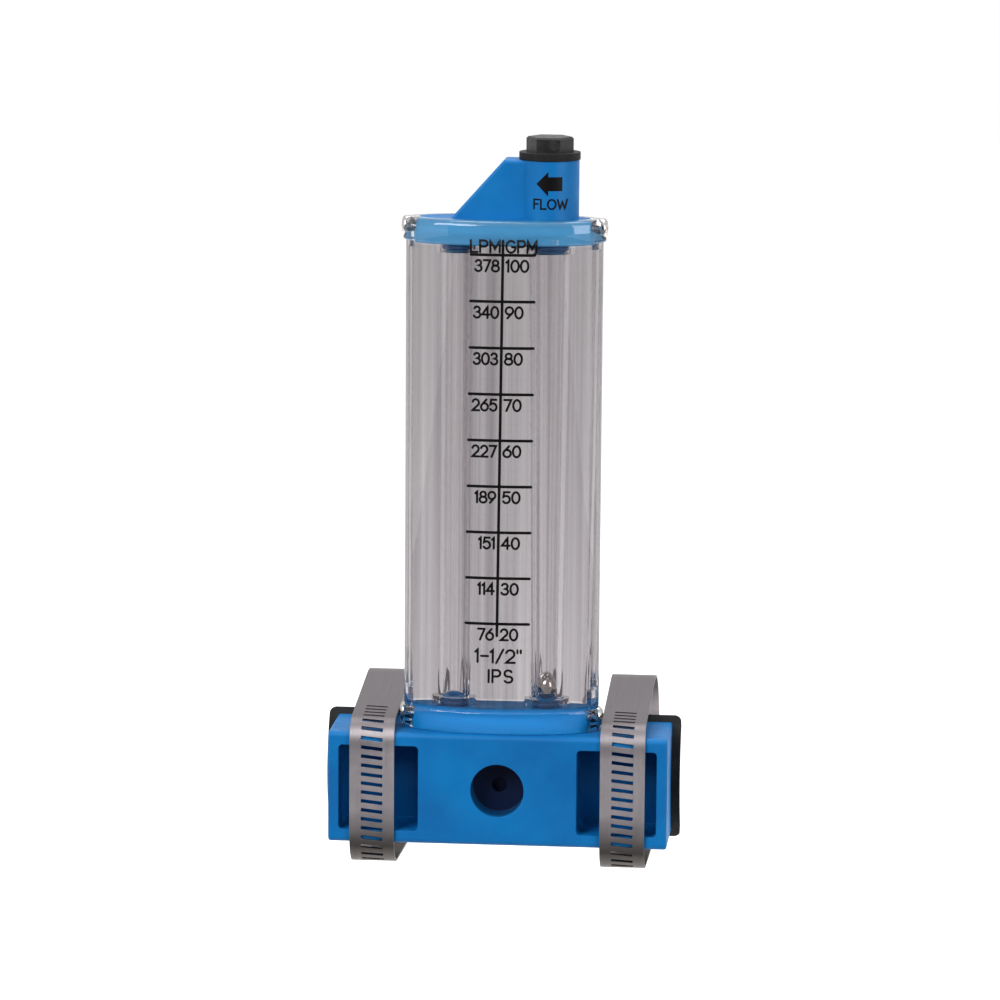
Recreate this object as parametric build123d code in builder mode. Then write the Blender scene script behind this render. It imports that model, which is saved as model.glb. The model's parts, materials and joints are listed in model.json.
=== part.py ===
from build123d import *
import os
from math import acos, atan2, cos, degrees, hypot, radians, sin

os.makedirs("parts", exist_ok=True)

# Side-mounted flow meter for a plastic water pipe, in millimetres.
# The pipe runs along X through the origin, the scale faces -Y, and +Z is up.
# Water in the pipe moves towards -X. Some of it enters the probe, lifts the ball
# in the tapered bore, crosses over in the cap and goes back down the plain bore.

# Pipe of nominal size one and a half inches
pipe_diameter = 48.26
pipe_radius = pipe_diameter / 2

# Fits between pieces
seat_gap = 0.3
slip_gap = 0.2
running_gap = 0.1
close_gap = 0.05

# Rubber saddle gasket between the block and the pipe
gasket_thickness = 2.5
gasket_half_angle = 42.0
gasket_overhang = 2.5
gasket_corner = 2.0
gasket_relief = 0.4
gasket_rim = 4.0
gasket_ring = 3.5

# Moulded base block: its size follows the pipe's
saddle_radius = pipe_radius + gasket_thickness
pipe_showing = 8.13
block_depth = 18.87
block_height = pipe_diameter - 2 * pipe_showing
block_front = saddle_radius + block_depth
block_front_round = 1.5
block_end_round = 0.8
pocket_end_wall = 3.0
pocket_side_wall = 3.7
pocket_floor_wall = 3.5
pocket_round = 1.2
block_margin = 6.3
pocket_lead = 13.1
front_bore_diameter = 15.2
front_bore_depth = 8.0
core_pin_diameter = 4.2
core_pin_depth = 2.6

# Clear meter body
meter_inset = 12.0
meter_y = meter_inset - block_front
body_width = 55.6
body_depth = 21.8
body_height = 146.0
lip_growth = 0.8
lip_width = body_width + 2 * lip_growth
lip_depth = body_depth + 2 * lip_growth
lip_height = 6.5
lip_round = 0.6
end_pocket_depth = 7.5
bore_inset = 15.3
bore_spacing = body_width - 2 * bore_inset
taper_bottom_diameter = 8.5
taper_top_diameter = 11.8
return_bore_diameter = 9.0

# Spigots of the block and of the cap, which go into the ends of the clear body
spigot_end_wall = 3.8
spigot_front_wall = 2.3
spigot_width = body_width - 2 * spigot_end_wall
spigot_depth = body_depth - 2 * spigot_front_wall
nipple_height = 2.4
nipple_diameter = 9.0
outlet_nipple_diameter = 11.2
port_diameter = 5.0
outlet_diameter = 9.4
ring_cord = 1.5

# Float
ball_diameter = 7.94

# Screws that pin the body to the two spigots
body_screw_head_diameter = 5.6
body_screw_head_height = 1.95
body_screw_dome_share = 0.7
body_screw_shank_diameter = 2.9
body_screw_length = 8.0
body_screw_inset = 1.6
body_screw_end_distance = 4.0
body_screw_end_distance_top = 2.6
body_screw_recess_width = 0.7
body_screw_recess_span = 3.2
body_screw_recess_depth = 1.0
spot_face_gap = 0.4

# Probe that reaches into the pipe
probe_plug_diameter = 12.6
probe_collar_diameter = 10.4
probe_stem_diameter = 9.2
probe_shoulder_inset = 0.53
probe_stem_start = pipe_radius - probe_shoulder_inset
probe_tip = 2.0
probe_dome = 1.4
probe_floor_inset = 11.3
probe_floor = block_front - probe_floor_inset
probe_channel_diameter = 6.4
probe_web = 1.2
probe_end_wall = 1.1
cross_channel_diameter = 4.0
cross_channel_inset = 2.2
cross_channel_y = probe_floor - cross_channel_inset
port_sump = 0.8
probe_port_diameter = 3.2

# Cap with its sloped duct and threaded boss
cap_height = 16.5
duct_width = 10.5
duct_foot = 14.7
duct_shoulder = 0.0
duct_round = 0.8
boss_diameter = 16.6
crossing_rise = 9.0
crossing_start = 2.5

# Clean-out plug in the boss
plug_collar_diameter = 17.2
plug_collar_height = 2.0
plug_hex = 11.5
plug_hex_height = 4.3
plug_hex_chamfer = 0.5
plug_shank_diameter = 10.5
plug_shank_length = 7.0
plug_stop_diameter = 4.0
ball_top_height = 154.2
plug_ring_recess = 1.7

# Worm-drive hose clamps
band_width = 12.7
band_thickness = 0.7
band_layer_gap = 0.15
band_front_gap = 0.3
upper_bend_radius = 6.3
upper_bend_drop = 3.0
upper_bend_height = block_height / 2 - upper_bend_drop
lower_bend_radius = 8.8
lower_bend_lift = 2.5
lower_bend_height = lower_bend_lift - block_height / 2
slot_pitch = 2.6
slot_length = 6.2
slot_width = 1.1
slot_slant = -6.0
slotted_lead = 9.0
tail_join_start = -36.0
tail_join_end = -30.0
tail_slit = 1.2
tail_end = 22.0

# Worm screw and its housing
worm_crest_diameter = 6.8
worm_root_diameter = 5.2
worm_length = 11.0
worm_journal_diameter = 4.6
worm_head_flats = 8.0
worm_head_height = 4.6
worm_flange_diameter = 9.2
worm_flange_height = 0.8
worm_slot_width = 1.2
worm_slot_depth = 1.5
housing_length = 14.0
housing_wall = 0.8
housing_cheek_drop = 3.0

# Sizes that follow from those above
screw_seat_x = lip_width / 2 - body_screw_inset
screw_reach = screw_seat_x + body_screw_head_height
clamp_x = screw_reach + seat_gap + band_width / 2
block_length = 2 * (clamp_x + band_width / 2 + block_margin)
block_core = 2 * (clamp_x - pocket_lead)
gasket_length = block_length + 2 * gasket_overhang
block_top = block_height / 2
body_bottom = block_top
body_top = body_bottom + body_height
port_x = bore_spacing / 2
spigot_height = end_pocket_depth - seat_gap
lower_face = body_bottom + spigot_height
upper_face = body_top - spigot_height
lower_roof = body_bottom + end_pocket_depth
upper_roof = body_top - end_pocket_depth
lower_bore_end = lower_roof + nipple_height
upper_bore_end = upper_roof - nipple_height
nipple_top = lower_face + nipple_height
boss_top = body_top + cap_height
ball_radius = ball_diameter / 2
ball_seat_rise = (ball_radius**2 - (port_diameter / 2) ** 2) ** 0.5
ball_rest_height = nipple_top + ball_seat_rise + close_gap
lower_screw_height = body_bottom + body_screw_end_distance
upper_screw_height = body_top - body_screw_end_distance_top


def ring_sector(inner, outer, start, size):
    """Return the face between two radii about the pipe axis, from a start angle."""
    with BuildSketch() as sector:
        with BuildLine():
            inside = CenterArc((0, 0), inner, start, size)
            outside = CenterArc((0, 0), outer, start, size)
            Line(inside @ 0, outside @ 0)
            Line(inside @ 1, outside @ 1)
        make_face()
    return sector.sketch


# Cores of the two open pockets in the block: their floors are concentric with the pipe
pocket_width = block_length / 2 - pocket_end_wall - block_core / 2
pocket_x = block_core / 2 + pocket_width / 2
pocket_height = block_height - 2 * pocket_side_wall
with BuildPart() as pocket_cores:
    with BuildSketch(Plane.XZ.offset(block_front)):
        with Locations((-pocket_x, 0), (pocket_x, 0)):
            Rectangle(pocket_width, pocket_height)
    extrude(amount=-block_front)
    fillet(pocket_cores.edges().filter_by(Axis.Y), radius=pocket_round)
    with BuildSketch(Plane.YZ):
        Circle(saddle_radius + pocket_floor_wall)
    extrude(amount=block_length / 2, both=True, mode=Mode.SUBTRACT)

with BuildPart() as base_block:
    with BuildSketch(Plane.YZ):
        with Locations((-block_front / 2, 0)):
            Rectangle(block_front, block_height)
        Circle(saddle_radius, mode=Mode.SUBTRACT)
    extrude(amount=block_length / 2, both=True)
    front_edges = base_block.edges().filter_by(Axis.X).group_by(Axis.Y)[0]
    fillet(front_edges, radius=block_front_round)
    end_edges = base_block.edges().filter_by(Axis.Z).group_by(Axis.Y)[0]
    fillet(end_edges, radius=block_end_round)
    add(pocket_cores.part, mode=Mode.SUBTRACT)
    # Oval spigot with a nipple round each port
    with BuildSketch(Plane.XY.offset(block_top)):
        with Locations((0, meter_y)):
            Ellipse(spigot_width / 2, spigot_depth / 2)
    extrude(amount=spigot_height)
    with BuildSketch(Plane.XY.offset(lower_face)):
        with Locations((-port_x, meter_y), (port_x, meter_y)):
            Circle(nipple_diameter / 2)
    extrude(amount=nipple_height)
    # Ports, and the channel that joins them to the probe
    with Locations((-port_x, meter_y, nipple_top), (port_x, meter_y, nipple_top)):
        Hole(port_diameter / 2, depth=nipple_top + cross_channel_diameter / 2 + port_sump)
    with BuildSketch(Plane.YZ):
        with Locations((-cross_channel_y, 0)):
            Circle(cross_channel_diameter / 2)
    extrude(amount=port_x, both=True, mode=Mode.SUBTRACT)
    with BuildSketch(Plane.XZ.offset(probe_floor)):
        Circle(probe_plug_diameter / 2 + running_gap)
    extrude(amount=-probe_floor, mode=Mode.SUBTRACT)
    # Round recess in the middle of the front
    with Locations(Plane.XZ.offset(block_front)):
        CounterBoreHole(
            radius=core_pin_diameter / 2,
            counter_bore_radius=front_bore_diameter / 2,
            counter_bore_depth=front_bore_depth,
            depth=front_bore_depth + core_pin_depth,
        )
    # Pilot holes for the body screws
    for side in (-1, 1):
        with BuildSketch(Plane.YZ.offset(side * (screw_seat_x + 1))):
            with Locations((meter_y, lower_screw_height)):
                Circle(body_screw_shank_diameter / 2 + close_gap)
        extrude(amount=-side * (body_screw_length + 2), mode=Mode.SUBTRACT)

# Gasket: a rim at each end and a ring round the probe touch the pipe, the rest stands back
with BuildPart() as gasket_hollow:
    with BuildSketch(Plane.YZ):
        Circle(pipe_radius + gasket_relief)
    extrude(amount=gasket_length / 2 - gasket_rim, both=True)
    with BuildSketch(Plane.XZ):
        Circle(probe_collar_diameter / 2 + seat_gap + gasket_ring)
    extrude(amount=saddle_radius, mode=Mode.SUBTRACT)

with BuildPart() as saddle_gasket:
    with BuildSketch(Plane.YZ):
        sheet_start = 180 - gasket_half_angle
        add(ring_sector(pipe_radius, saddle_radius, sheet_start, 2 * gasket_half_angle))
    extrude(amount=gasket_length / 2, both=True)
    corner_edges = (
        saddle_gasket.edges()
        .filter_by(GeomType.LINE)
        .filter_by(lambda edge: abs(edge.length - gasket_thickness) < 0.01)
    )
    fillet(corner_edges, radius=gasket_corner)
    add(gasket_hollow.part, mode=Mode.SUBTRACT)
    with BuildSketch(Plane.XZ):
        Circle(probe_collar_diameter / 2 + seat_gap)
    extrude(amount=saddle_radius, mode=Mode.SUBTRACT)

# Probe: turned outside, with two half-round channels parted by a web.
# One port faces upstream and the other downstream, both on the pipe axis.
with BuildPart() as pitot_probe:
    plug_radius = probe_plug_diameter / 2
    collar_radius = probe_collar_diameter / 2
    stem_radius = probe_stem_diameter / 2
    plug_start = -probe_floor + running_gap
    plug_end = -saddle_radius - seat_gap
    with BuildSketch(Plane.XY):
        with BuildLine():
            outline = Polyline(
                (0, plug_start),
                (plug_radius, plug_start),
                (plug_radius, plug_end),
                (collar_radius, plug_end),
                (collar_radius, -probe_stem_start),
                (stem_radius, -probe_stem_start),
                (stem_radius, probe_tip),
            )
            tip = Line((stem_radius - probe_dome, probe_tip + probe_dome), (0, probe_tip + probe_dome))
            RadiusArc(outline @ 1, tip @ 0, -probe_dome)
            Line(tip @ 1, outline @ 0)
        make_face()
    revolve(axis=Axis.Y)
    with BuildSketch(Plane.XZ.offset(-plug_start - probe_end_wall)):
        Circle(probe_channel_diameter / 2)
        Rectangle(probe_web, probe_channel_diameter, mode=Mode.SUBTRACT)
    channel_length = probe_tip + probe_dome - plug_start - 2 * probe_end_wall
    extrude(amount=-channel_length, mode=Mode.SUBTRACT)
    for side in (-1, 1):
        with BuildSketch(Plane.YZ.offset(side * probe_web / 2)):
            with Locations((-cross_channel_y, 0)):
                Circle(cross_channel_diameter / 2 - running_gap)
            Circle(probe_port_diameter / 2)
        extrude(amount=side * plug_radius, mode=Mode.SUBTRACT)

# Clear body: an oval bar with a lip at each end, two bores and an end pocket
with BuildPart() as meter_body:
    with BuildSketch(Plane.XY.offset(body_bottom)):
        with Locations((0, meter_y)):
            Ellipse(body_width / 2, body_depth / 2)
    extrude(amount=body_height)
    for lip_bottom in (body_bottom, body_top - lip_height):
        with BuildSketch(Plane.XY.offset(lip_bottom)):
            with Locations((0, meter_y)):
                Ellipse(lip_width / 2, lip_depth / 2)
        extrude(amount=lip_height)
    lip_edges = meter_body.edges().filter_by(
        lambda edge: edge.bounding_box().size.X > (body_width + lip_width) / 2
    )
    fillet(lip_edges, radius=lip_round)
    for pocket_bottom in (body_bottom, upper_roof):
        with BuildSketch(Plane.XY.offset(pocket_bottom)):
            with Locations((0, meter_y)):
                Ellipse(spigot_width / 2 + slip_gap, spigot_depth / 2 + slip_gap)
        extrude(amount=end_pocket_depth, mode=Mode.SUBTRACT)
    # Recesses for the sealing rings
    ring_room = ring_cord + 2 * close_gap
    with BuildSketch(Plane.XY.offset(lower_roof)):
        with Locations((-port_x, meter_y), (port_x, meter_y)):
            Circle(nipple_diameter / 2 + ring_room)
    extrude(amount=nipple_height, mode=Mode.SUBTRACT)
    with BuildSketch(Plane.XY.offset(upper_roof)):
        with Locations((-port_x, meter_y)):
            Circle(nipple_diameter / 2 + ring_room)
        with Locations((port_x, meter_y)):
            Circle(outlet_nipple_diameter / 2 + ring_room)
    extrude(amount=-nipple_height, mode=Mode.SUBTRACT)
    bore_length = upper_bore_end - lower_bore_end
    with Locations((port_x, meter_y, lower_bore_end)):
        Cone(
            taper_bottom_diameter / 2,
            taper_top_diameter / 2,
            bore_length,
            align=(Align.CENTER, Align.CENTER, Align.MIN),
            mode=Mode.SUBTRACT,
        )
    with Locations((-port_x, meter_y, upper_bore_end)):
        Hole(return_bore_diameter / 2, depth=bore_length)
    # Holes and flat seats for the four body screws
    for side in (-1, 1):
        for height in (lower_screw_height, upper_screw_height):
            with BuildSketch(Plane.YZ.offset(side * screw_seat_x)):
                with Locations((meter_y, height)):
                    Circle(body_screw_head_diameter / 2 + spot_face_gap)
            extrude(amount=side * body_width, mode=Mode.SUBTRACT)
            with BuildSketch(Plane.YZ.offset(side * screw_seat_x)):
                with Locations((meter_y, height)):
                    Circle(body_screw_shank_diameter / 2 + slip_gap)
            extrude(amount=-side * end_pocket_depth, mode=Mode.SUBTRACT)

with BuildPart() as float_ball:
    with Locations((port_x, meter_y, ball_rest_height)):
        Sphere(ball_radius)

# Cap: oval spigot, sloped duct and round boss, with the crossing channel inside
with BuildPart() as top_cap:
    with BuildSketch(Plane.XY.offset(upper_face)):
        with Locations((0, meter_y)):
            Ellipse(spigot_width / 2, spigot_depth / 2)
    extrude(amount=spigot_height)
    with BuildSketch(Plane.XZ.offset(-meter_y - duct_width / 2)):
        with BuildLine():
            Polyline(
                (-duct_foot, body_top),
                (duct_shoulder, boss_top),
                (port_x, boss_top),
                (port_x, body_top),
                close=True,
            )
        make_face()
    extrude(amount=duct_width)
    slope_edges = top_cap.edges().filter_by(
        lambda edge: edge.center().Z > body_top + 1 and edge.center().X < port_x - 1
    )
    fillet(slope_edges.filter_by(Axis.Z, reverse=True), radius=duct_round)
    with BuildSketch(Plane.XY.offset(body_top)):
        with Locations((port_x, meter_y)):
            Circle(boss_diameter / 2)
    extrude(amount=cap_height)
    with BuildSketch(Plane.XY.offset(upper_face)):
        with Locations((-port_x, meter_y)):
            Circle(nipple_diameter / 2)
        with Locations((port_x, meter_y)):
            Circle(outlet_nipple_diameter / 2)
    extrude(amount=-nipple_height)
    # Straight bore under the boss, with the plug's thread and ring recess at its top
    cap_bore_length = cap_height + spigot_height + nipple_height
    with Locations((port_x, meter_y, boss_top)):
        CounterBoreHole(
            radius=outlet_diameter / 2,
            counter_bore_radius=plug_shank_diameter / 2 + running_gap,
            counter_bore_depth=plug_shank_length + 1,
            depth=cap_bore_length,
        )
    with BuildSketch(Plane.XY.offset(boss_top)):
        with Locations((port_x, meter_y)):
            Circle(plug_shank_diameter / 2 + ring_cord + 2 * close_gap)
    extrude(amount=-plug_ring_recess, mode=Mode.SUBTRACT)
    # Port over the return bore, and the rising channel that feeds it
    crossing_foot = upper_face + crossing_start
    with BuildSketch(Plane.XY.offset(upper_face - nipple_height)):
        with Locations((-port_x, meter_y)):
            Circle(port_diameter / 2)
    extrude(amount=nipple_height + crossing_start, mode=Mode.SUBTRACT)
    crossing_axis = Vector(2 * port_x, 0, crossing_rise)
    crossing_plane = Plane(
        origin=(-port_x, meter_y, crossing_foot), x_dir=(0, 1, 0), z_dir=crossing_axis
    )
    with BuildSketch(crossing_plane):
        Circle(port_diameter / 2)
    extrude(amount=crossing_axis.length - outlet_diameter / 4, mode=Mode.SUBTRACT)
    with Locations((-port_x, meter_y, crossing_foot)):
        Sphere(port_diameter / 2, mode=Mode.SUBTRACT)
    for side in (-1, 1):
        with BuildSketch(Plane.YZ.offset(side * (screw_seat_x + 1))):
            with Locations((meter_y, upper_screw_height)):
                Circle(body_screw_shank_diameter / 2 + close_gap)
        extrude(amount=-side * (body_screw_length + 2), mode=Mode.SUBTRACT)

# Clean-out plug: six-sided head, collar, shank and the stop that limits the ball
with BuildPart() as cap_plug:
    with BuildSketch(Plane.XY.offset(boss_top + running_gap)):
        with Locations((port_x, meter_y)):
            Circle(plug_collar_diameter / 2)
    extrude(amount=plug_collar_height)
    with BuildSketch(Plane.XY.offset(boss_top + running_gap + plug_collar_height)):
        with Locations((port_x, meter_y)):
            RegularPolygon(plug_hex / 2, 6, major_radius=False)
    extrude(amount=plug_hex_height)
    chamfer(cap_plug.faces().sort_by(Axis.Z)[-1].edges(), length=plug_hex_chamfer)
    with BuildSketch(Plane.XY.offset(boss_top + running_gap)):
        with Locations((port_x, meter_y)):
            Circle(plug_shank_diameter / 2)
    extrude(amount=-plug_shank_length)
    plug_stop_height = ball_top_height + ball_radius + running_gap
    with BuildSketch(Plane.XY.offset(plug_stop_height)):
        with Locations((port_x, meter_y)):
            Circle(plug_stop_diameter / 2)
    extrude(amount=boss_top - plug_stop_height)

# Worm screw geometry behind the pipe, shared by screw, housing and band
tail_inner = pipe_radius + band_thickness + band_layer_gap
tail_outer = tail_inner + band_thickness
worm_y = tail_outer + running_gap + worm_crest_diameter / 2

# Side view of the clamp loop: a belt round the pipe and two bends at the block's front
front_line = block_front + band_front_gap
upper_centre = Vector(upper_bend_radius - front_line, upper_bend_height)
lower_centre = Vector(lower_bend_radius - front_line, lower_bend_height)


def belt_angle(centre, radius, turn):
    """Return the direction in which the run between the pipe and a bend faces."""
    reach = hypot(centre.X, centre.Y)
    lean = degrees(acos((pipe_radius - radius) / reach))
    return degrees(atan2(centre.Y, centre.X)) % 360 + turn * lean


upper_angle = belt_angle(upper_centre, upper_bend_radius, -1)
lower_angle = belt_angle(lower_centre, lower_bend_radius, 1)


def belt_face(growth):
    """Return the face inside the loop, with its three circles grown by growth."""
    with BuildSketch() as belt:
        with BuildLine():
            behind = CenterArc(
                (0, 0), pipe_radius + growth, lower_angle, upper_angle + 360 - lower_angle
            )
            above = CenterArc(
                upper_centre, upper_bend_radius + growth, upper_angle, 180 - upper_angle
            )
            below = CenterArc(lower_centre, lower_bend_radius + growth, 180, lower_angle - 180)
            Line(behind @ 1, above @ 0)
            Line(above @ 1, below @ 0)
            Line(below @ 1, behind @ 0)
        make_face()
    return belt.sketch


# Line that the slots follow, from the top run down the front and round to the tail
with BuildLine() as slot_line:
    over_bend = CenterArc(upper_centre, upper_bend_radius, upper_angle, 180 - upper_angle)
    under_bend = CenterArc(lower_centre, lower_bend_radius, 180, lower_angle - 180)
    round_pipe = CenterArc((0, 0), pipe_radius, lower_angle, 360 + tail_join_start - lower_angle)
    top_run = Vector(sin(radians(upper_angle)), -cos(radians(upper_angle)))
    Line((over_bend @ 0) + top_run * slotted_lead, over_bend @ 0)
    Line(over_bend @ 1, under_bend @ 0)
    Line(under_bend @ 1, round_pipe @ 0)
slot_path = slot_line.wire()
slot_count = int(slot_path.length / slot_pitch)


def slot_plane(place, along):
    """Return a plane on the band, facing away from the loop, from side-view vectors."""
    outwards = Vector(0, along.X, along.Y).cross(Vector(1, 0, 0))
    return Plane(origin=(0, place.X, place.Y), x_dir=(1, 0, 0), z_dir=outwards)


slot_planes = []
for index in range(slot_count):
    reach = (index + 0.5) * slot_pitch
    place = slot_path.position_at(reach, position_mode=PositionMode.LENGTH)
    along = slot_path.tangent_at(reach, position_mode=PositionMode.LENGTH)
    slot_planes.append(slot_plane(place, along))
tail_step = degrees(slot_pitch / tail_outer)
tail_slots = int((tail_end - tail_join_end) / tail_step) - 1
for index in range(tail_slots):
    angle = radians(tail_join_end + (index + 1) * tail_step)
    place = Vector(cos(angle), sin(angle)) * tail_outer
    slot_planes.append(slot_plane(place, Vector(-sin(angle), cos(angle))))

pieces = {
    "base_block": base_block,
    "saddle_gasket": saddle_gasket,
    "pitot_probe": pitot_probe,
    "meter_body": meter_body,
    "float_ball": float_ball,
    "top_cap": top_cap,
    "cap_plug": cap_plug,
}

# Sealing rings: each has its centre, and its inner radius is that of what it goes round
ring_lift = ring_cord / 2 + close_gap
ring_places = {
    "lower_seal_left": (-port_x, lower_face + ring_lift, nipple_diameter),
    "lower_seal_right": (port_x, lower_face + ring_lift, nipple_diameter),
    "upper_seal_left": (-port_x, upper_face - ring_lift, nipple_diameter),
    "upper_seal_right": (port_x, upper_face - ring_lift, outlet_nipple_diameter),
    "plug_seal": (port_x, boss_top - ring_lift, plug_shank_diameter),
}
for name, (ring_x, ring_z, inner_diameter) in ring_places.items():
    with BuildPart() as seal:
        with Locations((ring_x, meter_y, ring_z)):
            Torus(inner_diameter / 2 + close_gap + ring_cord / 2, ring_cord / 2)
    pieces[name] = seal

# Body screws: domed heads with a cross recess, lying along X into the spigots
screw_places = {
    "body_screw_lower_left": (-1, lower_screw_height),
    "body_screw_lower_right": (1, lower_screw_height),
    "body_screw_upper_left": (-1, upper_screw_height),
    "body_screw_upper_right": (1, upper_screw_height),
}
for name, (side, height) in screw_places.items():
    seat = Plane(origin=(side * screw_seat_x, meter_y, height), x_dir=(0, 1, 0), z_dir=(side, 0, 0))
    with BuildPart() as body_screw:
        with BuildSketch(seat):
            Circle(body_screw_head_diameter / 2)
        extrude(amount=body_screw_head_height)
        rim = body_screw.edges().sort_by(Axis((0, 0, 0), (side, 0, 0)))[-1]
        fillet(rim, radius=body_screw_head_height * body_screw_dome_share)
        with BuildSketch(seat.offset(body_screw_head_height)):
            Rectangle(body_screw_recess_span, body_screw_recess_width)
            Rectangle(body_screw_recess_width, body_screw_recess_span)
        extrude(amount=-body_screw_recess_depth, mode=Mode.SUBTRACT)
        with BuildSketch(seat):
            Circle(body_screw_shank_diameter / 2)
        extrude(amount=-body_screw_length)
    pieces[name] = body_screw

# Two clamps, the same way round: band, housing and worm screw
for name, clamp_centre in (("left", -clamp_x), ("right", clamp_x)):
    side_plane = Plane.YZ.offset(clamp_centre)
    with BuildPart() as clamp_band:
        with BuildSketch(side_plane):
            add(belt_face(band_thickness))
            add(belt_face(0), mode=Mode.SUBTRACT)
            # The strip steps out over its own fixed end and goes on as a tail
            join_size = tail_join_end - tail_join_start
            add(ring_sector(pipe_radius, tail_outer, tail_join_start, join_size))
            add(ring_sector(tail_inner, tail_outer, tail_join_end, tail_end - tail_join_end))
            slit_inner = pipe_radius - 1
            slit_outer = pipe_radius + band_thickness + band_layer_gap
            slit = ring_sector(slit_inner, slit_outer, tail_join_end, tail_slit)
            add(slit, mode=Mode.SUBTRACT)
        extrude(amount=band_width / 2, both=True)
        with Locations(*[Location((clamp_centre, 0, 0)) * plane.location for plane in slot_planes]):
            Box(
                slot_length,
                slot_width,
                2 * band_thickness + band_layer_gap,
                rotation=(0, 0, slot_slant),
                mode=Mode.SUBTRACT,
            )
    pieces[f"clamp_band_{name}"] = clamp_band

    # Housing: cheeks beside the band, shoulders on it and an arch over the worm
    cheek = band_width / 2 + running_gap
    shoulder = tail_outer + running_gap
    arch = worm_crest_diameter / 2 + seat_gap
    with BuildPart() as clamp_housing:
        with BuildSketch(Plane.XY.offset(-housing_length / 2)):
            with Locations((clamp_centre, shoulder + housing_wall - housing_cheek_drop / 2)):
                Rectangle(2 * (cheek + housing_wall), housing_cheek_drop)
            with Locations((clamp_centre, (shoulder + worm_y) / 2)):
                Rectangle(2 * (arch + housing_wall), worm_y - shoulder)
            with Locations((clamp_centre, worm_y)):
                Circle(arch + housing_wall)
        extrude(amount=housing_length)
        with BuildSketch(Plane.XY.offset(-housing_length / 2)):
            with Locations((clamp_centre, shoulder / 2)):
                Rectangle(2 * cheek, shoulder)
            with Locations((clamp_centre, worm_y)):
                Circle(worm_journal_diameter / 2 + running_gap)
        extrude(amount=housing_length, mode=Mode.SUBTRACT)
        with BuildSketch(Plane.XY.offset(housing_wall - housing_length / 2)):
            with Locations((clamp_centre, worm_y)):
                Circle(arch)
            with Locations((clamp_centre, worm_y / 2)):
                Rectangle(2 * arch, worm_y)
        extrude(amount=housing_length - 2 * housing_wall, mode=Mode.SUBTRACT)
        with BuildSketch(side_plane):
            Circle(pipe_radius + seat_gap)
        extrude(amount=band_width, both=True, mode=Mode.SUBTRACT)
    pieces[f"clamp_housing_{name}"] = clamp_housing

    # Worm screw: its head points down, and its thread has the pitch of the slots
    worm_foot = -worm_length / 2
    journal_end = -housing_length / 2 - seat_gap
    head_start = journal_end - worm_flange_height
    with BuildPart() as clamp_screw:
        with BuildSketch(Plane.XY.offset(worm_foot)):
            with Locations((clamp_centre, worm_y)):
                Circle(worm_root_diameter / 2)
        extrude(amount=worm_length)
        with BuildSketch(Plane.XY.offset(journal_end)):
            with Locations((clamp_centre, worm_y)):
                Circle(worm_journal_diameter / 2)
        extrude(amount=housing_length + 2 * seat_gap)
        with BuildSketch(Plane.XY.offset(journal_end)):
            with Locations((clamp_centre, worm_y)):
                Circle(worm_flange_diameter / 2)
        extrude(amount=-worm_flange_height)
        with BuildSketch(Plane.XY.offset(head_start)):
            with Locations((clamp_centre, worm_y)):
                RegularPolygon(worm_head_flats / 2, 6, major_radius=False)
        extrude(amount=-worm_head_height)
        with BuildSketch(Plane.XY.offset(head_start - worm_head_height)):
            with Locations((clamp_centre, worm_y)):
                Rectangle(worm_flange_diameter + 1, worm_slot_width)
        extrude(amount=worm_slot_depth, mode=Mode.SUBTRACT)
        thread_depth = (worm_crest_diameter - worm_root_diameter) / 2
        thread_turns = worm_length - slot_pitch
        with BuildLine():
            thread_path = Helix(
                slot_pitch,
                thread_turns,
                worm_root_diameter / 2 - close_gap,
                center=(clamp_centre, worm_y, worm_foot + slot_pitch / 2),
            )
        thread_section = Plane(
            origin=thread_path @ 0, x_dir=(1, 0, 0), z_dir=thread_path % 0
        )
        with BuildSketch(thread_section):
            with BuildLine():
                Polyline(
                    (0, -slot_width / 2),
                    (thread_depth + close_gap, -slot_width / 4),
                    (thread_depth + close_gap, slot_width / 4),
                    (0, slot_width / 2),
                    close=True,
                )
            make_face()
        sweep(path=thread_path, is_frenet=True)
    pieces[f"clamp_screw_{name}"] = clamp_screw

for name, piece in pieces.items():
    piece.part.label = name
    export_step(piece.part, f"parts/{name}.step")
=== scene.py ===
"""Dress a side-mounted flow meter in Blender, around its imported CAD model.

The CAD model is the fixed frame: the pipe that the meter grips runs along X through the
origin, the printed scale faces -Y, and +Z is up. Blender's lengths are in metres. Sizes that
the CAD source also holds are repeated here in millimetres and turned into metres by mm().

The script gives each CAD node a procedural finish, replaces the clear body with a smooth
copy of the same form, prints the flow scale on it, and sets up the studio and the camera.
"""

from __future__ import annotations

import json
import logging
import math
from dataclasses import dataclass
from enum import Enum
from typing import Dict, List, Sequence, Tuple, TypeVar, Union

import bpy
import numpy as np
from mathutils import Matrix, Vector

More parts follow.
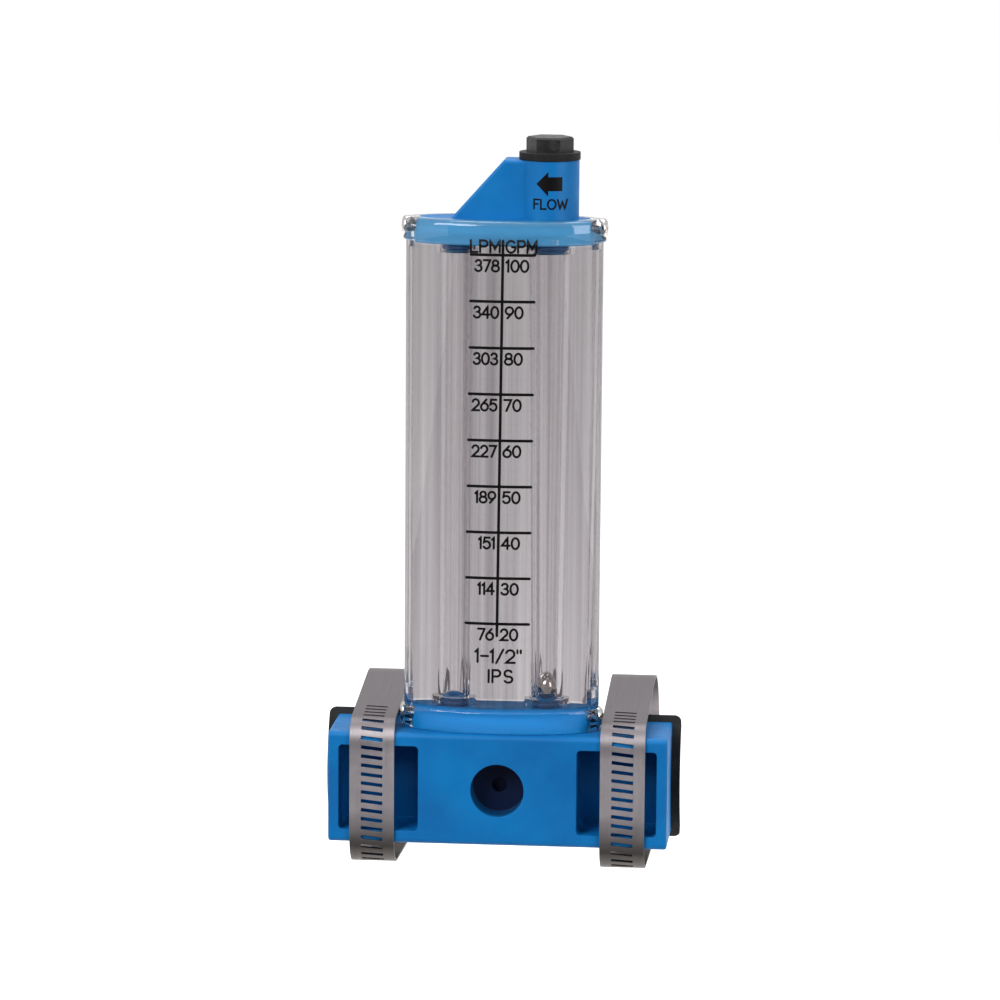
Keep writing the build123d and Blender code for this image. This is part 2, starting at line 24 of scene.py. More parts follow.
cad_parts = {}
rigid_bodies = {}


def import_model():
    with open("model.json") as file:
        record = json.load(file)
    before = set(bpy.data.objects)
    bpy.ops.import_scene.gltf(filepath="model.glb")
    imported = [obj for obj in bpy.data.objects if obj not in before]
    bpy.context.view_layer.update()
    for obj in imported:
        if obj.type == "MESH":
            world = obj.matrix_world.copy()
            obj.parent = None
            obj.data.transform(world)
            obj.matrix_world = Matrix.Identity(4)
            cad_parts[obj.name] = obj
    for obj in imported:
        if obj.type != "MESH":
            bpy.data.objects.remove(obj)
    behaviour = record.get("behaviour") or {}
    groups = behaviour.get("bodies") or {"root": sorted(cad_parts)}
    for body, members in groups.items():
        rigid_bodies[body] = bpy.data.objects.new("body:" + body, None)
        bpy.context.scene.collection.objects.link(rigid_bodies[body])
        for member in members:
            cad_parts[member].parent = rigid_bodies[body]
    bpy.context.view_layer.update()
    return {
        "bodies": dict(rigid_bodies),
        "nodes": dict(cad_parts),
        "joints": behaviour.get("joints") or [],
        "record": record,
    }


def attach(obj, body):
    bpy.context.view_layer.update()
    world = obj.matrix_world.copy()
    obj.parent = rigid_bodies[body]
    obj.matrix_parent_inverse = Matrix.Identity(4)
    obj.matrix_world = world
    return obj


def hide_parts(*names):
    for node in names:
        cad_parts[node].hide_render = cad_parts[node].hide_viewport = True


logging.basicConfig(level=logging.INFO, format="%(name)s: %(message)s")
log = logging.getLogger("flow_meter")

Point = Tuple[float, float]
Place = Tuple[float, float, float]
Length = TypeVar("Length", float, np.ndarray)

# The paper floor's height, and the size and middle of the cloth on it, in metres
FLOOR_Z = -0.165
FLOOR_FLAG_SIZE = (2.6, 2.2)
FLOOR_FLAG_PLACE = (0.0, -1.2, FLOOR_Z + 0.001)


def mm(value: Length) -> Length:
    """Turn a length in millimetres, or an array of them, into metres."""
    return value / 1000.0


def per(size: float) -> float:
    """Turn the width of one lump of a pattern, in millimetres, into lumps in each metre."""
    return 1000.0 / size


class Tint(Enum):
    """Colours of the real materials, as sRGB hex values read from the photograph."""

    AZURE = "#0473b6"
    AZURE_DEEP = "#0564a6"
    AZURE_CHALK = "#3a8ec8"
    AZURE_SHADE = "#071a3c"
    # Painted light on the spigots inside the clear body
    AZURE_PAINTED_LIGHT = "#0d96e8"
    AZURE_PAINTED_LIGHT_PALE = "#4696c8"
    SEAL_BLUE = "#1c5a94"
    RUBBER = "#111316"
    RUBBER_DUST = "#232526"
    BLACK_PLASTIC = "#1d1c1e"
    BLACK_SCUFF = "#3a3532"
    ACRYLIC = "#f6f4f5"
    # Painted shade, painted streaks and a painted highlight on the clear body's outside
    ACRYLIC_PAINTED_SHADE = "#8e898c"
    ACRYLIC_PAINTED_STREAK = "#bdb9bb"
    ACRYLIC_PAINTED_HIGHLIGHT = "#d4d0d3"
    ACRYLIC_DEPTH = "#b9b5b8"
    INK = "#0c0b0c"
    STEEL = "#c2bbbe"
    STEEL_DARK = "#958f92"
    # Painted shade on the band's top run and lower bend
    STEEL_PAINTED_TOP_SHADE = "#6d686b"
    STEEL_PAINTED_LOW_SHADE = "#57524f"
    STEEL_BRIGHT = "#cfcdca"
    BALL = "#b9b0a8"
    PAPER = "#f4f4f4"
    CLOTH_BLACK = "#1b1b1c"
    CLOTH_GREY = "#88888b"
    WHITE = "#ffffff"


class Slot(Enum):
    """The record's material slots."""

    BLUE_PLASTIC = "blue_plastic"
    SADDLE_RUBBER = "saddle_rubber"
    PROBE_PLASTIC = "probe_plastic"
    BALL_STEEL = "ball_steel"
    SEAL_RUBBER = "seal_rubber"
    PLUG_PLASTIC = "plug_plastic"
    SCREW_STEEL = "screw_steel"
    BAND_STEEL = "band_steel"
    WORM_STEEL = "worm_steel"


class Kind(Enum):
    """Shader node types, named for what they do."""

    PLACE = "ShaderNodeTexCoord"
    STRETCH = "ShaderNodeMapping"
    SPLIT = "ShaderNodeSeparateXYZ"
    VECTOR = "ShaderNodeVectorMath"
    NOISE = "ShaderNodeTexNoise"
    REMAP = "ShaderNodeMapRange"
    MATH = "ShaderNodeMath"
    MIX = "ShaderNodeMix"
    BEVEL = "ShaderNodeBevel"
    BUMP = "ShaderNodeBump"
    SURFACE = "ShaderNodeBsdfPrincipled"
    ABSORB = "ShaderNodeVolumeAbsorption"
    GLOW = "ShaderNodeEmission"
    BOTH = "ShaderNodeAddShader"
    RAYS = "ShaderNodeLightPath"
    SKY = "ShaderNodeBackground"
    OUTPUT = "ShaderNodeOutputMaterial"
    WORLD_OUTPUT = "ShaderNodeOutputWorld"


class Align(Enum):
    """Where a word's anchor lies, as a share of its width."""

    LEFT = 0.0
    MIDDLE = 0.5
    RIGHT = 1.0


Plug = Union[bpy.types.NodeSocket, Tint, float, Tuple[float, ...]]


def linear(tint: Tint) -> Tuple[float, float, float, float]:
    """Turn an sRGB hex colour into the linear values that shader sockets take.

    Args:
        tint: The colour.

    Returns:
        Red, green, blue and alpha, linear, from 0 to 1.
    """
    value = np.array([int(tint.value[start : start + 2], 16) / 255.0 for start in (1, 3, 5)])
    red, green, blue = np.where(value <= 0.04045, value / 12.92, ((value + 0.055) / 1.055) ** 2.4)
    return float(red), float(green), float(blue), 1.0


class Graph:
    """A node tree, filled one node at a time."""

    def __init__(self, tree: bpy.types.NodeTree) -> None:
        """Start with an empty tree.

        Args:
            tree: The tree to fill.
        """
        tree.nodes.clear()
        self.tree = tree

    def add(self, kind: Kind, *plugs: Plug, **named: object) -> bpy.types.NodeSocket | None:
        """Add one node with its settings and links.

        Args:
            kind: The node's type.
            *plugs: What its inputs in use hold, in their order: a constant, a colour or an
                output of another node.
            **named: A name that starts with a small letter is a setting of the node, and one
                that starts with a capital is an input, with underscores for spaces.

        Returns:
            The node's first output in use. The others are on that output's node.
        """
        node = self.tree.nodes.new(kind.value)
        for name, value in named.items():
            if name[0].islower():
                setattr(node, name, value)
        used = [socket for socket in node.inputs if socket.enabled]
        chosen = list(zip(used, plugs))
        for name, value in named.items():
            if name[0].isupper():
                title = name.replace("_", " ")
                chosen.append((next(socket for socket in used if socket.name == title), value))
        for socket, value in chosen:
            if isinstance(value, bpy.types.NodeSocket):
                self.tree.links.new(value, socket)
            else:
                socket.default_value = linear(value) if isinstance(value, Tint) else value
        return next((socket for socket in node.outputs if socket.enabled), None)


def on_seen_rays(graph: Graph, strength: Plug) -> bpy.types.NodeSocket:
    """Return strength on camera, glossy and transmission rays, and 0 on the rest.

    Args:
        graph: The graph that gets the nodes.
        strength: Value on the rays that see the background.

    Returns:
        A value socket.
    """
    rays = graph.add(Kind.RAYS).node.outputs
    mirrored = graph.add(
        Kind.MATH, rays["Is Camera Ray"], rays["Is Glossy Ray"], operation="MAXIMUM"
    )
    seen = graph.add(Kind.MATH, mirrored, rays["Is Transmission Ray"], operation="MAXIMUM")
    return graph.add(Kind.MATH, seen, strength, operation="MULTIPLY")


@dataclass(frozen=True)
class Finish:
    """One real material, painted on the object's own coordinates. Its sizes are in mm."""

    name: str

    def sockets(self, graph: Graph, place: bpy.types.NodeSocket) -> Dict[str, Plug]:
        """Return the shader's inputs, by name with underscores for spaces.

        Args:
            graph: The material's graph.
            place: The object's coordinates.

        Returns:
            The inputs, as Graph.add takes them.
        """
        raise NotImplementedError

    def light(self, graph: Graph, shader: bpy.types.NodeSocket) -> bpy.types.NodeSocket:
        """Return what the surface sends out, which is the shader alone."""
        return shader

    def inside(self, graph: Graph) -> Dict[str, Plug]:
        """Return the output's volume input, if the material has one."""
        return {}

    def material(self) -> bpy.types.Material:
        """Make the material.

        Returns:
            The material.
        """
        made = bpy.data.materials.new(self.name)
        made.use_nodes = True
        graph = Graph(made.node_tree)
        place = graph.add(Kind.PLACE).node.outputs["Object"]
        shader = graph.add(Kind.SURFACE, **self.sockets(graph, place))
        graph.add(Kind.OUTPUT, Surface=self.light(graph, shader), **self.inside(graph))
        return made


@dataclass(frozen=True)
class MouldedAbs(Finish):
    """Injection-moulded blue ABS: satin and slightly chalky, with soft flow marks."""

    name: str = "moulded_azure_abs"
    cloud: float = 18.0
    speck: float = 0.7
    patch: float = 8.5
    matt: float = 4.0
    grain: float = 0.4
    recess_radius: float = 7.55
    recess_front: float = -45.3
    recess_back: float = -43.2
    middle: float = 89.0
    spigot_start: float = 62.0
    spigot_end: float = 73.0

    def sockets(self, graph: Graph, place: bpy.types.NodeSocket) -> Dict[str, Plug]:
        """Return the shader's inputs.

        Args:
            graph: The material's graph.
            place: The object's coordinates.

        Returns:
            The inputs, as Graph.add takes them.
        """
        add = graph.add
        # The colour drifts over centimetres, as pigment does where the melt cools unevenly
        cloud = add(Kind.REMAP, add(Kind.NOISE, place, per(self.cloud), 3.0), 0.35, 0.7, 0.0, 1.0)
        base = add(Kind.MIX, cloud, Tint.AZURE, Tint.AZURE_DEEP, data_type="RGBA")
        # Pale specks are scuffs and dried pool water, a few tenths of a millimetre wide
        fine = add(Kind.NOISE, place, per(self.speck), 4.0, 0.65)
        speck = add(Kind.REMAP, fine, 0.62, 0.78, 0.0, 0.35)
        patch = add(Kind.REMAP, add(Kind.NOISE, place, per(self.patch)), 0.45, 0.65, 0.0, 1.0)
        amount = add(Kind.MATH, speck, patch, operation="MULTIPLY")
        scuffed = add(Kind.MIX, amount, base, Tint.AZURE_CHALK, data_type="RGBA")
        # The round recess in the block's front takes hardly any light. It lies round the Y
        # axis, so the distance from that axis and the depth behind the face mask it
        flat = add(Kind.STRETCH, place, Scale=(1.0, 0.0, 1.0))
        from_axis = add(Kind.VECTOR, flat, operation="LENGTH")
        radius = mm(self.recess_radius)
        near = add(Kind.REMAP, from_axis, radius, radius + mm(0.15), 1.0, 0.0)
        split = add(Kind.SPLIT, place).node.outputs
        front, back = mm(self.recess_front), mm(self.recess_back)
        inwards = add(Kind.REMAP, split["Y"], front, back, 0.0, 1.0)
        shade = add(Kind.MATH, near, inwards, operation="MULTIPLY")
        shaded = add(Kind.MIX, shade, scuffed, Tint.AZURE_SHADE, data_type="RGBA")
        # Painted light: both spigots are brightened where they sit inside the ends of the clear
        # body, which lets little lamp light through to them
        height = add(Kind.MATH, split["Z"], -mm(self.middle), operation="ADD")
        away = add(Kind.MATH, height, operation="ABSOLUTE")
        start, end = mm(self.spigot_start), mm(self.spigot_end)
        light_start = add(Kind.REMAP, away, start - mm(0.5), start, 0.0, 1.0)
        light_end = add(Kind.REMAP, away, end - mm(0.1), end, 1.0, 0.0)
        painted_light = add(Kind.MATH, light_start, light_end, operation="MULTIPLY")
        # The upper one gets a paler painted light
        upper = add(Kind.REMAP, height, mm(-10.0), mm(10.0), 0.0, 1.0)
        spigot = add(Kind.MIX, upper, Tint.AZURE_PAINTED_LIGHT, Tint.AZURE_PAINTED_LIGHT_PALE, data_type="RGBA")
        matt = add(Kind.NOISE, place, per(self.matt), 3.0)
        return {
            "Base_Color": add(Kind.MIX, painted_light, shaded, spigot, data_type="RGBA"),
            "Roughness": add(Kind.REMAP, matt, 0.3, 0.7, 0.42, 0.58),
            "Normal": add(
                Kind.BUMP,
                Strength=0.5,
                Distance=mm(0.02),
                Height=add(Kind.NOISE, place, per(self.grain)),
                Normal=add(Kind.BEVEL, mm(0.35), samples=4),
            ),
            "Specular_IOR_Level": 0.2,
            "Coat_Weight": 0.04,
            "Coat_Roughness": 0.25,
        }


@dataclass(frozen=True)
class SheetRubber(Finish):
    """Moulded black nitrile sheet: dull, with dust in its grain."""

    name: str = "moulded_black_nitrile"
    dust: float = 2.4
    matt: float = 5.0
    grain: float = 0.3

    def sockets(self, graph: Graph, place: bpy.types.NodeSocket) -> Dict[str, Plug]:
        """Return the shader's inputs.

        Args:
            graph: The material's graph.
            place: The object's coordinates.

        Returns:
            The inputs, as Graph.add takes them.
        """
        add = graph.add
        lint = add(Kind.NOISE, place, per(self.dust), 4.0, 0.6)
        dust = add(Kind.REMAP, lint, 0.45, 0.8, 0.0, 1.0)
        matt = add(Kind.NOISE, place, per(self.matt))
        return {
            "Base_Color": add(Kind.MIX, dust, Tint.RUBBER, Tint.RUBBER_DUST, data_type="RGBA"),
            "Roughness": add(Kind.REMAP, matt, 0.3, 0.7, 0.55, 0.75),
            "Normal": add(
                Kind.BUMP,
                Strength=0.6,
                Distance=mm(0.04),
                Height=add(Kind.NOISE, place, per(self.grain), 3.0),
                Normal=add(Kind.BEVEL, mm(0.3), samples=4),
            ),
            "Specular_IOR_Level": 0.2,
        }


@dataclass(frozen=True)
class TurnedRod(Finish):
    """Black acetal rod turned in a lathe: half gloss, with fine tool rings round Y."""

    name: str = "turned_black_acetal"
    ring: float = 0.19
    along_ring: float = 50.0

    def sockets(self, graph: Graph, place: bpy.types.NodeSocket) -> Dict[str, Plug]:
        """Return the shader's inputs.

        Args:
            graph: The material's graph.
            place: The object's coordinates.

        Returns:
            The inputs, as Graph.add takes them.
        """
        add = graph.add
        scale = (per(self.along_ring), per(self.ring), per(self.along_ring))
        rings = add(Kind.NOISE, add(Kind.STRETCH, place, Scale=scale), 1.0, 1.0)
        colour = add(Kind.MIX, rings, Tint.BLACK_PLASTIC, Tint.RUBBER_DUST, data_type="RGBA")
        return {
            "Base_Color": colour,
            "Roughness": add(Kind.REMAP, rings, 0.2, 0.8, 0.32, 0.48),
            "Normal": add(
                Kind.BUMP,
                Strength=0.7,
                Distance=mm(0.02),
                Height=rings,
                Normal=add(Kind.BEVEL, mm(0.15), samples=4),
            ),
        }


@dataclass(frozen=True)
class MouldedAcrylic(Finish):
    """Clear moulded acrylic: long draw waves bend what is seen through it into streaks, and its
    outside carries painted shade, painted streaks and a painted highlight.
    """

    name: str = "clear_moulded_acrylic"
    centre_y: float = -33.5
    half_width: float = 27.8
    half_depth: float = 10.9
    bottom: float = 16.0
    top: float = 162.0
    lip_height: float = 6.5
    wave: float = 2.38
    wave_length: float = 111.0
    streak: float = 3.03
    streak_depth: float = 25.0
    streak_length: float = 400.0
    edge_start: float = 23.5
    edge_end: float = 27.5
    # Absorption for each metre
    density: float = 13.0

    def sockets(self, graph: Graph, place: bpy.types.NodeSocket) -> Dict[str, Plug]:
        """Return the shader's inputs.

        Args:
            graph: The material's graph.
            place: The object's coordinates.

        Returns:
            The inputs, as Graph.add takes them.
        """
        add = graph.add
        # The waves run along Z, a millimetre or two apart and many centimetres long
        wave_scale = (per(self.wave), per(self.wave), per(self.wave_length))
        wave = add(Kind.NOISE, add(Kind.STRETCH, place, Scale=wave_scale), 1.0, 3.0, 0.55)
        # The outside gets a painted grey, painted shade for the darker room seen through it; the
        # walls of the bores do not.
        # Squares of x / a and (y - centre) / b add up to 1 on the outside of the oval bar
        oval = add(
            Kind.STRETCH,
            place,
            Location=(0.0, -self.centre_y / self.half_depth, 0.0),
            Scale=(1 / mm(self.half_width), 1 / mm(self.half_depth), 0.0),
        )
        reach = add(Kind.VECTOR, oval, operation="LENGTH")
        skin = add(Kind.REMAP, reach, 0.93, 0.97, 0.0, 1.0)
        # The two lips stay clear: they lie more than this far from the middle of the height
        split = add(Kind.SPLIT, place).node.outputs
        middle = mm((self.bottom + self.top) / 2)
        height = add(Kind.MATH, split["Z"], -middle, operation="ADD")
        away = add(Kind.MATH, height, operation="ABSOLUTE")
        lip = mm(self.top) - middle - mm(self.lip_height)
        between = add(Kind.REMAP, away, lip - mm(1.0), lip, 1.0, 0.0)
        outside = add(Kind.MATH, skin, between, operation="MULTIPLY")
        # Painted refraction: lighter and darker streaks a few millimetres apart run the whole
        # height
        streak_scale = (per(self.streak), per(self.streak_depth), per(self.streak_length))
        streak_noise = add(Kind.NOISE, add(Kind.STRETCH, place, Scale=streak_scale), 1.0, 4.0, 0.6)
        streak = add(Kind.REMAP, streak_noise, 0.38, 0.64, 0.0, 1.0)
        grey = add(Kind.MIX, streak, Tint.ACRYLIC_PAINTED_SHADE, Tint.ACRYLIC_PAINTED_STREAK, data_type="RGBA")
        # Towards both sides the curved skin gets a painted highlight
        aside = add(Kind.MATH, split["X"], operation="ABSOLUTE")
        edge_start, edge_end = mm(self.edge_start), mm(self.edge_end)
        edge = add(Kind.REMAP, aside, edge_start, edge_end, 0.0, 0.4)
        edge_lit = add(Kind.MIX, edge, grey, Tint.ACRYLIC_PAINTED_HIGHLIGHT, data_type="RGBA")
        return {
            "Base_Color": add(Kind.MIX, outside, Tint.ACRYLIC, edge_lit, data_type="RGBA"),
            "Normal": add(Kind.BUMP, Strength=0.35, Distance=mm(0.05), Height=wave),
            "Transmission_Weight": 1.0,
            "IOR": 1.49,
            "Roughness": 0.015,
        }

    def inside(self, graph: Graph) -> Dict[str, Plug]:
        """Return a volume that greys what is seen through the whole thickness."""
        return {"Volume": graph.add(Kind.ABSORB, Tint.ACRYLIC_DEPTH, self.density)}


@dataclass(frozen=True)
class PolishedBall(Finish):
    """Polished stainless steel: mirror bright, with faint handling marks."""

    name: str = "polished_stainless_ball"
    mark: float = 1.1

    def sockets(self, graph: Graph, place: bpy.types.NodeSocket) -> Dict[str, Plug]:
        """Return the shader's inputs.

        Args:
            graph: The material's graph.
            place: The object's coordinates.

        Returns:
            The inputs, as Graph.add takes them.
        """
        mark = graph.add(Kind.NOISE, place, per(self.mark), 4.0, 0.6)
        return {
            "Base_Color": graph.add(
                Kind.MIX, mark, Tint.BALL, Tint.STEEL_BRIGHT, data_type="RGBA"
            ),
            "Roughness": graph.add(Kind.REMAP, mark, 0.4, 0.8, 0.08, 0.2),
            "Metallic": 1.0,
        }


@dataclass(frozen=True)
class SiliconeRing(Finish):
    """Moulded blue silicone: smooth, and hardly seen against the blue round it."""

    name: str = "moulded_blue_silicone"
    film: float = 2.0

    def sockets(self, graph: Graph, place: bpy.types.NodeSocket) -> Dict[str, Plug]:
        """Return the shader's inputs.

        Args:
            graph: The material's graph.
            place: The object's coordinates.

        Returns:
            The inputs, as Graph.add takes them.
        """
        add = graph.add
        film = add(Kind.NOISE, place, per(self.film), 3.0)
        return {
            "Base_Color": add(Kind.MIX, film, Tint.SEAL_BLUE, Tint.AZURE_DEEP, data_type="RGBA"),
            "Roughness": add(Kind.REMAP, film, 0.3, 0.7, 0.3, 0.45),
            "Normal": add(Kind.BUMP, Strength=0.4, Distance=mm(0.01), Height=film),
        }


@dataclass(frozen=True)
class MouldedPlug(Finish):
    """Moulded black nylon, scuffed by the spanner on its six sides."""

    name: str = "moulded_black_nylon"
    scuff: float = 1.92
    streak: float = 1.11
    streak_length: float = 11.1
    grain: float = 0.56
    collar_top: float = 180.8

    def sockets(self, graph: Graph, place: bpy.types.NodeSocket) -> Dict[str, Plug]:
        """Return the shader's inputs.

        Args:
            graph: The material's graph.
            place: The object's coordinates.

        Returns:
            The inputs, as Graph.add takes them.
        """
        add = graph.add
        rub = add(Kind.NOISE, place, per(self.scuff), 5.0, 0.7)
        scuff = add(Kind.REMAP, rub, 0.42, 0.75, 0.0, 1.0)
        scale = (per(self.streak), per(self.streak), per(self.streak_length))
        streak = add(Kind.NOISE, add(Kind.STRETCH, place, Scale=scale), 1.0, 3.0, 0.6)
        amount = add(Kind.MATH, scuff, streak, operation="MULTIPLY")
        scuffed = add(Kind.MIX, amount, Tint.BLACK_PLASTIC, Tint.BLACK_SCUFF, data_type="RGBA")
        # The spanner never touches the collar, which stays as dark and dull as it was moulded
        height = add(Kind.SPLIT, place).node.outputs["Z"]
        collar_top = mm(self.collar_top)
        collar = add(Kind.REMAP, height, collar_top - mm(0.3), collar_top, 1.0, 0.0)
        gloss = add(Kind.REMAP, scuff, 0.0, 1.0, 0.38, 0.6)
        dulled = add(Kind.MATH, collar, 0.3, operation="MULTIPLY")
        return {
            "Base_Color": add(Kind.MIX, collar, scuffed, Tint.INK, data_type="RGBA"),
            "Roughness": add(Kind.MATH, gloss, dulled, operation="ADD"),
            "Normal": add(
                Kind.BUMP,
                Strength=0.6,
                Distance=mm(0.04),
                Height=add(Kind.NOISE, place, per(self.grain), 3.0),
                Normal=add(Kind.BEVEL, mm(0.25), samples=4),
            ),
            "Specular_IOR_Level": 0.3,
        }


@dataclass(frozen=True)
class HeadedScrew(Finish):
    """Cold-headed stainless steel: bright, dulled a little by pool air."""

    name: str = "cold_headed_screw_steel"
    tarnish: float = 0.9
    grain: float = 0.42

    def sockets(self, graph: Graph, place: bpy.types.NodeSocket) -> Dict[str, Plug]:
        """Return the shader's inputs.

        Args:
            graph: The material's graph.
            place: The object's coordinates.

        Returns:
            The inputs, as Graph.add takes them.
        """
        add = graph.add
        spots = add(Kind.NOISE, place, per(self.tarnish), 4.0, 0.6)
        tarnish = add(Kind.REMAP, spots, 0.4, 0.75, 0.0, 1.0)
        return {
            "Base_Color": add(
                Kind.MIX, tarnish, Tint.STEEL_BRIGHT, Tint.STEEL_DARK, data_type="RGBA"
            ),
            "Roughness": add(Kind.REMAP, tarnish, 0.0, 1.0, 0.16, 0.4),
            "Normal": add(
                Kind.BUMP,
                Strength=0.5,
                Distance=mm(0.015),
                Height=add(Kind.NOISE, place, per(self.grain)),
                Normal=add(Kind.BEVEL, mm(0.12), samples=4),
            ),
            "Metallic": 1.0,
        }


@dataclass(frozen=True)
class RolledStrip(Finish):
    """Rolled stainless strip: satin, with grain lines along the band all the way round."""

    name: str = "rolled_stainless_band"
    # Real grain is finer than a pixel, so the lines are as coarse as they need to show
    line: float = 0.24
    line_length: float = 16.7
    stain: float = 10.5
    top_shade_start: float = 10.0
    top_shade_end: float = 19.0
    low_shade_start: float = -6.0
    low_shade_end: float = -17.0

    def sockets(self, graph: Graph, place: bpy.types.NodeSocket) -> Dict[str, Plug]:
        """Return the shader's inputs.

        Args:
            graph: The material's graph.
            place: The object's coordinates.

        Returns:
            The inputs, as Graph.add takes them.
        """
        add = graph.add
        # Values change fast across the band, along X, and slowly along its path in YZ
        scale = (per(self.line), per(self.line_length), per(self.line_length))
        grain = add(Kind.NOISE, add(Kind.STRETCH, place, Scale=scale), 1.0, 4.0, 0.65)
        spots = add(Kind.NOISE, place, per(self.stain), 4.0, 0.6)
        stain = add(Kind.REMAP, spots, 0.45, 0.7, 0.0, 1.0)
        shade = add(Kind.MATH, stain, grain, operation="MULTIPLY")
        clean = add(Kind.MIX, shade, Tint.STEEL, Tint.STEEL_DARK, data_type="RGBA")
        # Painted shade darkens the run over the block, and darkens the bend below it more
        height = add(Kind.SPLIT, place).node.outputs["Z"]
        above = add(Kind.REMAP, height, mm(self.top_shade_start), mm(self.top_shade_end), 0.0, 1.0)
        below = add(Kind.REMAP, height, mm(self.low_shade_start), mm(self.low_shade_end), 0.0, 1.0)
        top_shaded = add(Kind.MIX, above, clean, Tint.STEEL_PAINTED_TOP_SHADE, data_type="RGBA")
        return {
            "Base_Color": add(Kind.MIX, below, top_shaded, Tint.STEEL_PAINTED_LOW_SHADE, data_type="RGBA"),
            "Roughness": add(Kind.REMAP, grain, 0.25, 0.75, 0.38, 0.56),
            "Normal": add(
                Kind.BUMP,
                Strength=0.45,
                Distance=mm(0.03),
                Height=grain,
                Normal=add(Kind.BEVEL, mm(0.12), samples=4),
            ),
            "Metallic": 1.0,
        }


@dataclass(frozen=True)
class TurnedWorm(Finish):
    """Turned stainless screw steel: bright, with tool rings along its Z axis."""

    name: str = "turned_worm_steel"
    ring: float = 0.167
    along_ring: float = 16.7

    def sockets(self, graph: Graph, place: bpy.types.NodeSocket) -> Dict[str, Plug]:
        """Return the shader's inputs.

        Args:
            graph: The material's graph.
            place: The object's coordinates.

        Returns:
            The inputs, as Graph.add takes them.
        """
        add = graph.add
        scale = (per(self.along_ring), per(self.along_ring), per(self.ring))
        rings = add(Kind.NOISE, add(Kind.STRETCH, place, Scale=scale), 1.0, 2.0, 0.5)
        return {
            "Base_Color": add(
                Kind.MIX, rings, Tint.STEEL_BRIGHT, Tint.STEEL_DARK, data_type="RGBA"
            ),
            "Roughness": add(Kind.REMAP, rings, 0.2, 0.8, 0.22, 0.4),
            "Normal": add(
                Kind.BUMP,
                Strength=0.5,
                Distance=mm(0.02),
                Height=rings,
                Normal=add(Kind.BEVEL, mm(0.12), samples=4),
            ),
            "Metallic": 1.0,
        }


@dataclass(frozen=True)
class ScreenInk(Finish):
    """Black screen-printed ink: dull, with pinholes that let a little grey through."""

    name: str = "screen_printed_ink"
    pinhole: float = 0.19
    mesh: float = 0.24

    def sockets(self, graph: Graph, place: bpy.types.NodeSocket) -> Dict[str, Plug]:
        """Return the shader's inputs.

        Args:
            graph: The material's graph.
            place: The object's coordinates.

        Returns:
            The inputs, as Graph.add takes them.
        """
        add = graph.add
        holes = add(Kind.NOISE, place, per(self.pinhole), 3.0, 0.6)
        pinhole = add(Kind.REMAP, holes, 0.62, 0.8, 0.0, 1.0)
        return {
            "Base_Color": add(Kind.MIX, pinhole, Tint.INK, Tint.RUBBER_DUST, data_type="RGBA"),
            "Roughness": add(Kind.REMAP, pinhole, 0.0, 1.0, 0.45, 0.6),
            "Normal": add(
                Kind.BUMP,
                Strength=0.5,
                Distance=mm(0.01),
                Height=add(Kind.NOISE, place, per(self.mesh)),
            ),
            "Specular_IOR_Level": 0.1,
        }


@dataclass(frozen=True)
class FlagCloth(Finish):
    """Woven cotton of a studio flag: dull, so that only its shade is mirrored."""

    name: str = "woven_flag_cloth"
    shade: Tint = Tint.CLOTH_BLACK
    weave: float = 3.3

    def sockets(self, graph: Graph, place: bpy.types.NodeSocket) -> Dict[str, Plug]:
        """Return the shader's inputs.

        Args:
            graph: The material's graph.
            place: The object's coordinates.

        Returns:
            The inputs, as Graph.add takes them.
        """
        add = graph.add
        weave = add(Kind.REMAP, add(Kind.NOISE, place, per(self.weave)), 0.3, 0.7, 0.0, 0.2)
        return {
            "Base_Color": add(Kind.MIX, weave, self.shade, Tint.INK, data_type="RGBA"),
            "Roughness": 1.0,
            "Specular_IOR_Level": 0.0,
        }


@dataclass(frozen=True)
class SeamlessPaper(Finish):
    """Pale seamless paper that stays white to the camera and keeps the shadow."""

    name: str = "seamless_paper"
    fibre: float = 1.4
    glow: float = 0.62
    covered_glow: float = 1.0
    # The part that the floor flag covers, in metres
    covered: Point = FLOOR_FLAG_SIZE
    covered_y: float = FLOOR_FLAG_PLACE[1]

    def sockets(self, graph: Graph, place: bpy.types.NodeSocket) -> Dict[str, Plug]:
        """Return the shader's inputs.

        Args:
            graph: The material's graph.
            place: The object's coordinates.

        Returns:
            The inputs, as Graph.add takes them.
        """
        fibre = graph.add(Kind.NOISE, place, per(self.fibre), 4.0, 0.6)
        return {
            "Base_Color": graph.add(Kind.MIX, fibre, Tint.PAPER, Tint.WHITE, data_type="RGBA"),
            "Roughness": 0.9,
            "Specular_IOR_Level": 0.0,
        }

    def light(self, graph: Graph, shader: bpy.types.NodeSocket) -> bpy.types.NodeSocket:
        """Return the shader with a glow on the rays that see the background.

        Args:
            graph: The material's graph.
            shader: The paper alone.

        Returns:
            A shader socket.
        """
        add = graph.add
        # Under the flag no light falls, so the glow alone makes the paper white there. Both
        # coordinates lie between -1 and 1 inside that part
        wide, deep = self.covered[0] / 2.0, self.covered[1] / 2.0
        inside = add(
            Kind.STRETCH,
            add(Kind.PLACE).node.outputs["Object"],
            Location=(0.0, -self.covered_y / deep, 0.0),
            Scale=(1.0 / wide, 1.0 / deep, 0.0),
        )
        split = add(Kind.SPLIT, inside).node.outputs
        across = add(Kind.MATH, split["X"], operation="ABSOLUTE")
        along = add(Kind.MATH, split["Y"], operation="ABSOLUTE")
        far = add(Kind.MATH, across, along, operation="MAXIMUM")
        strength = add(Kind.REMAP, far, 0.999, 1.001, self.covered_glow, self.glow)
        glow = add(Kind.GLOW, Tint.WHITE, on_seen_rays(graph, strength))
        return add(Kind.BOTH, shader, glow)


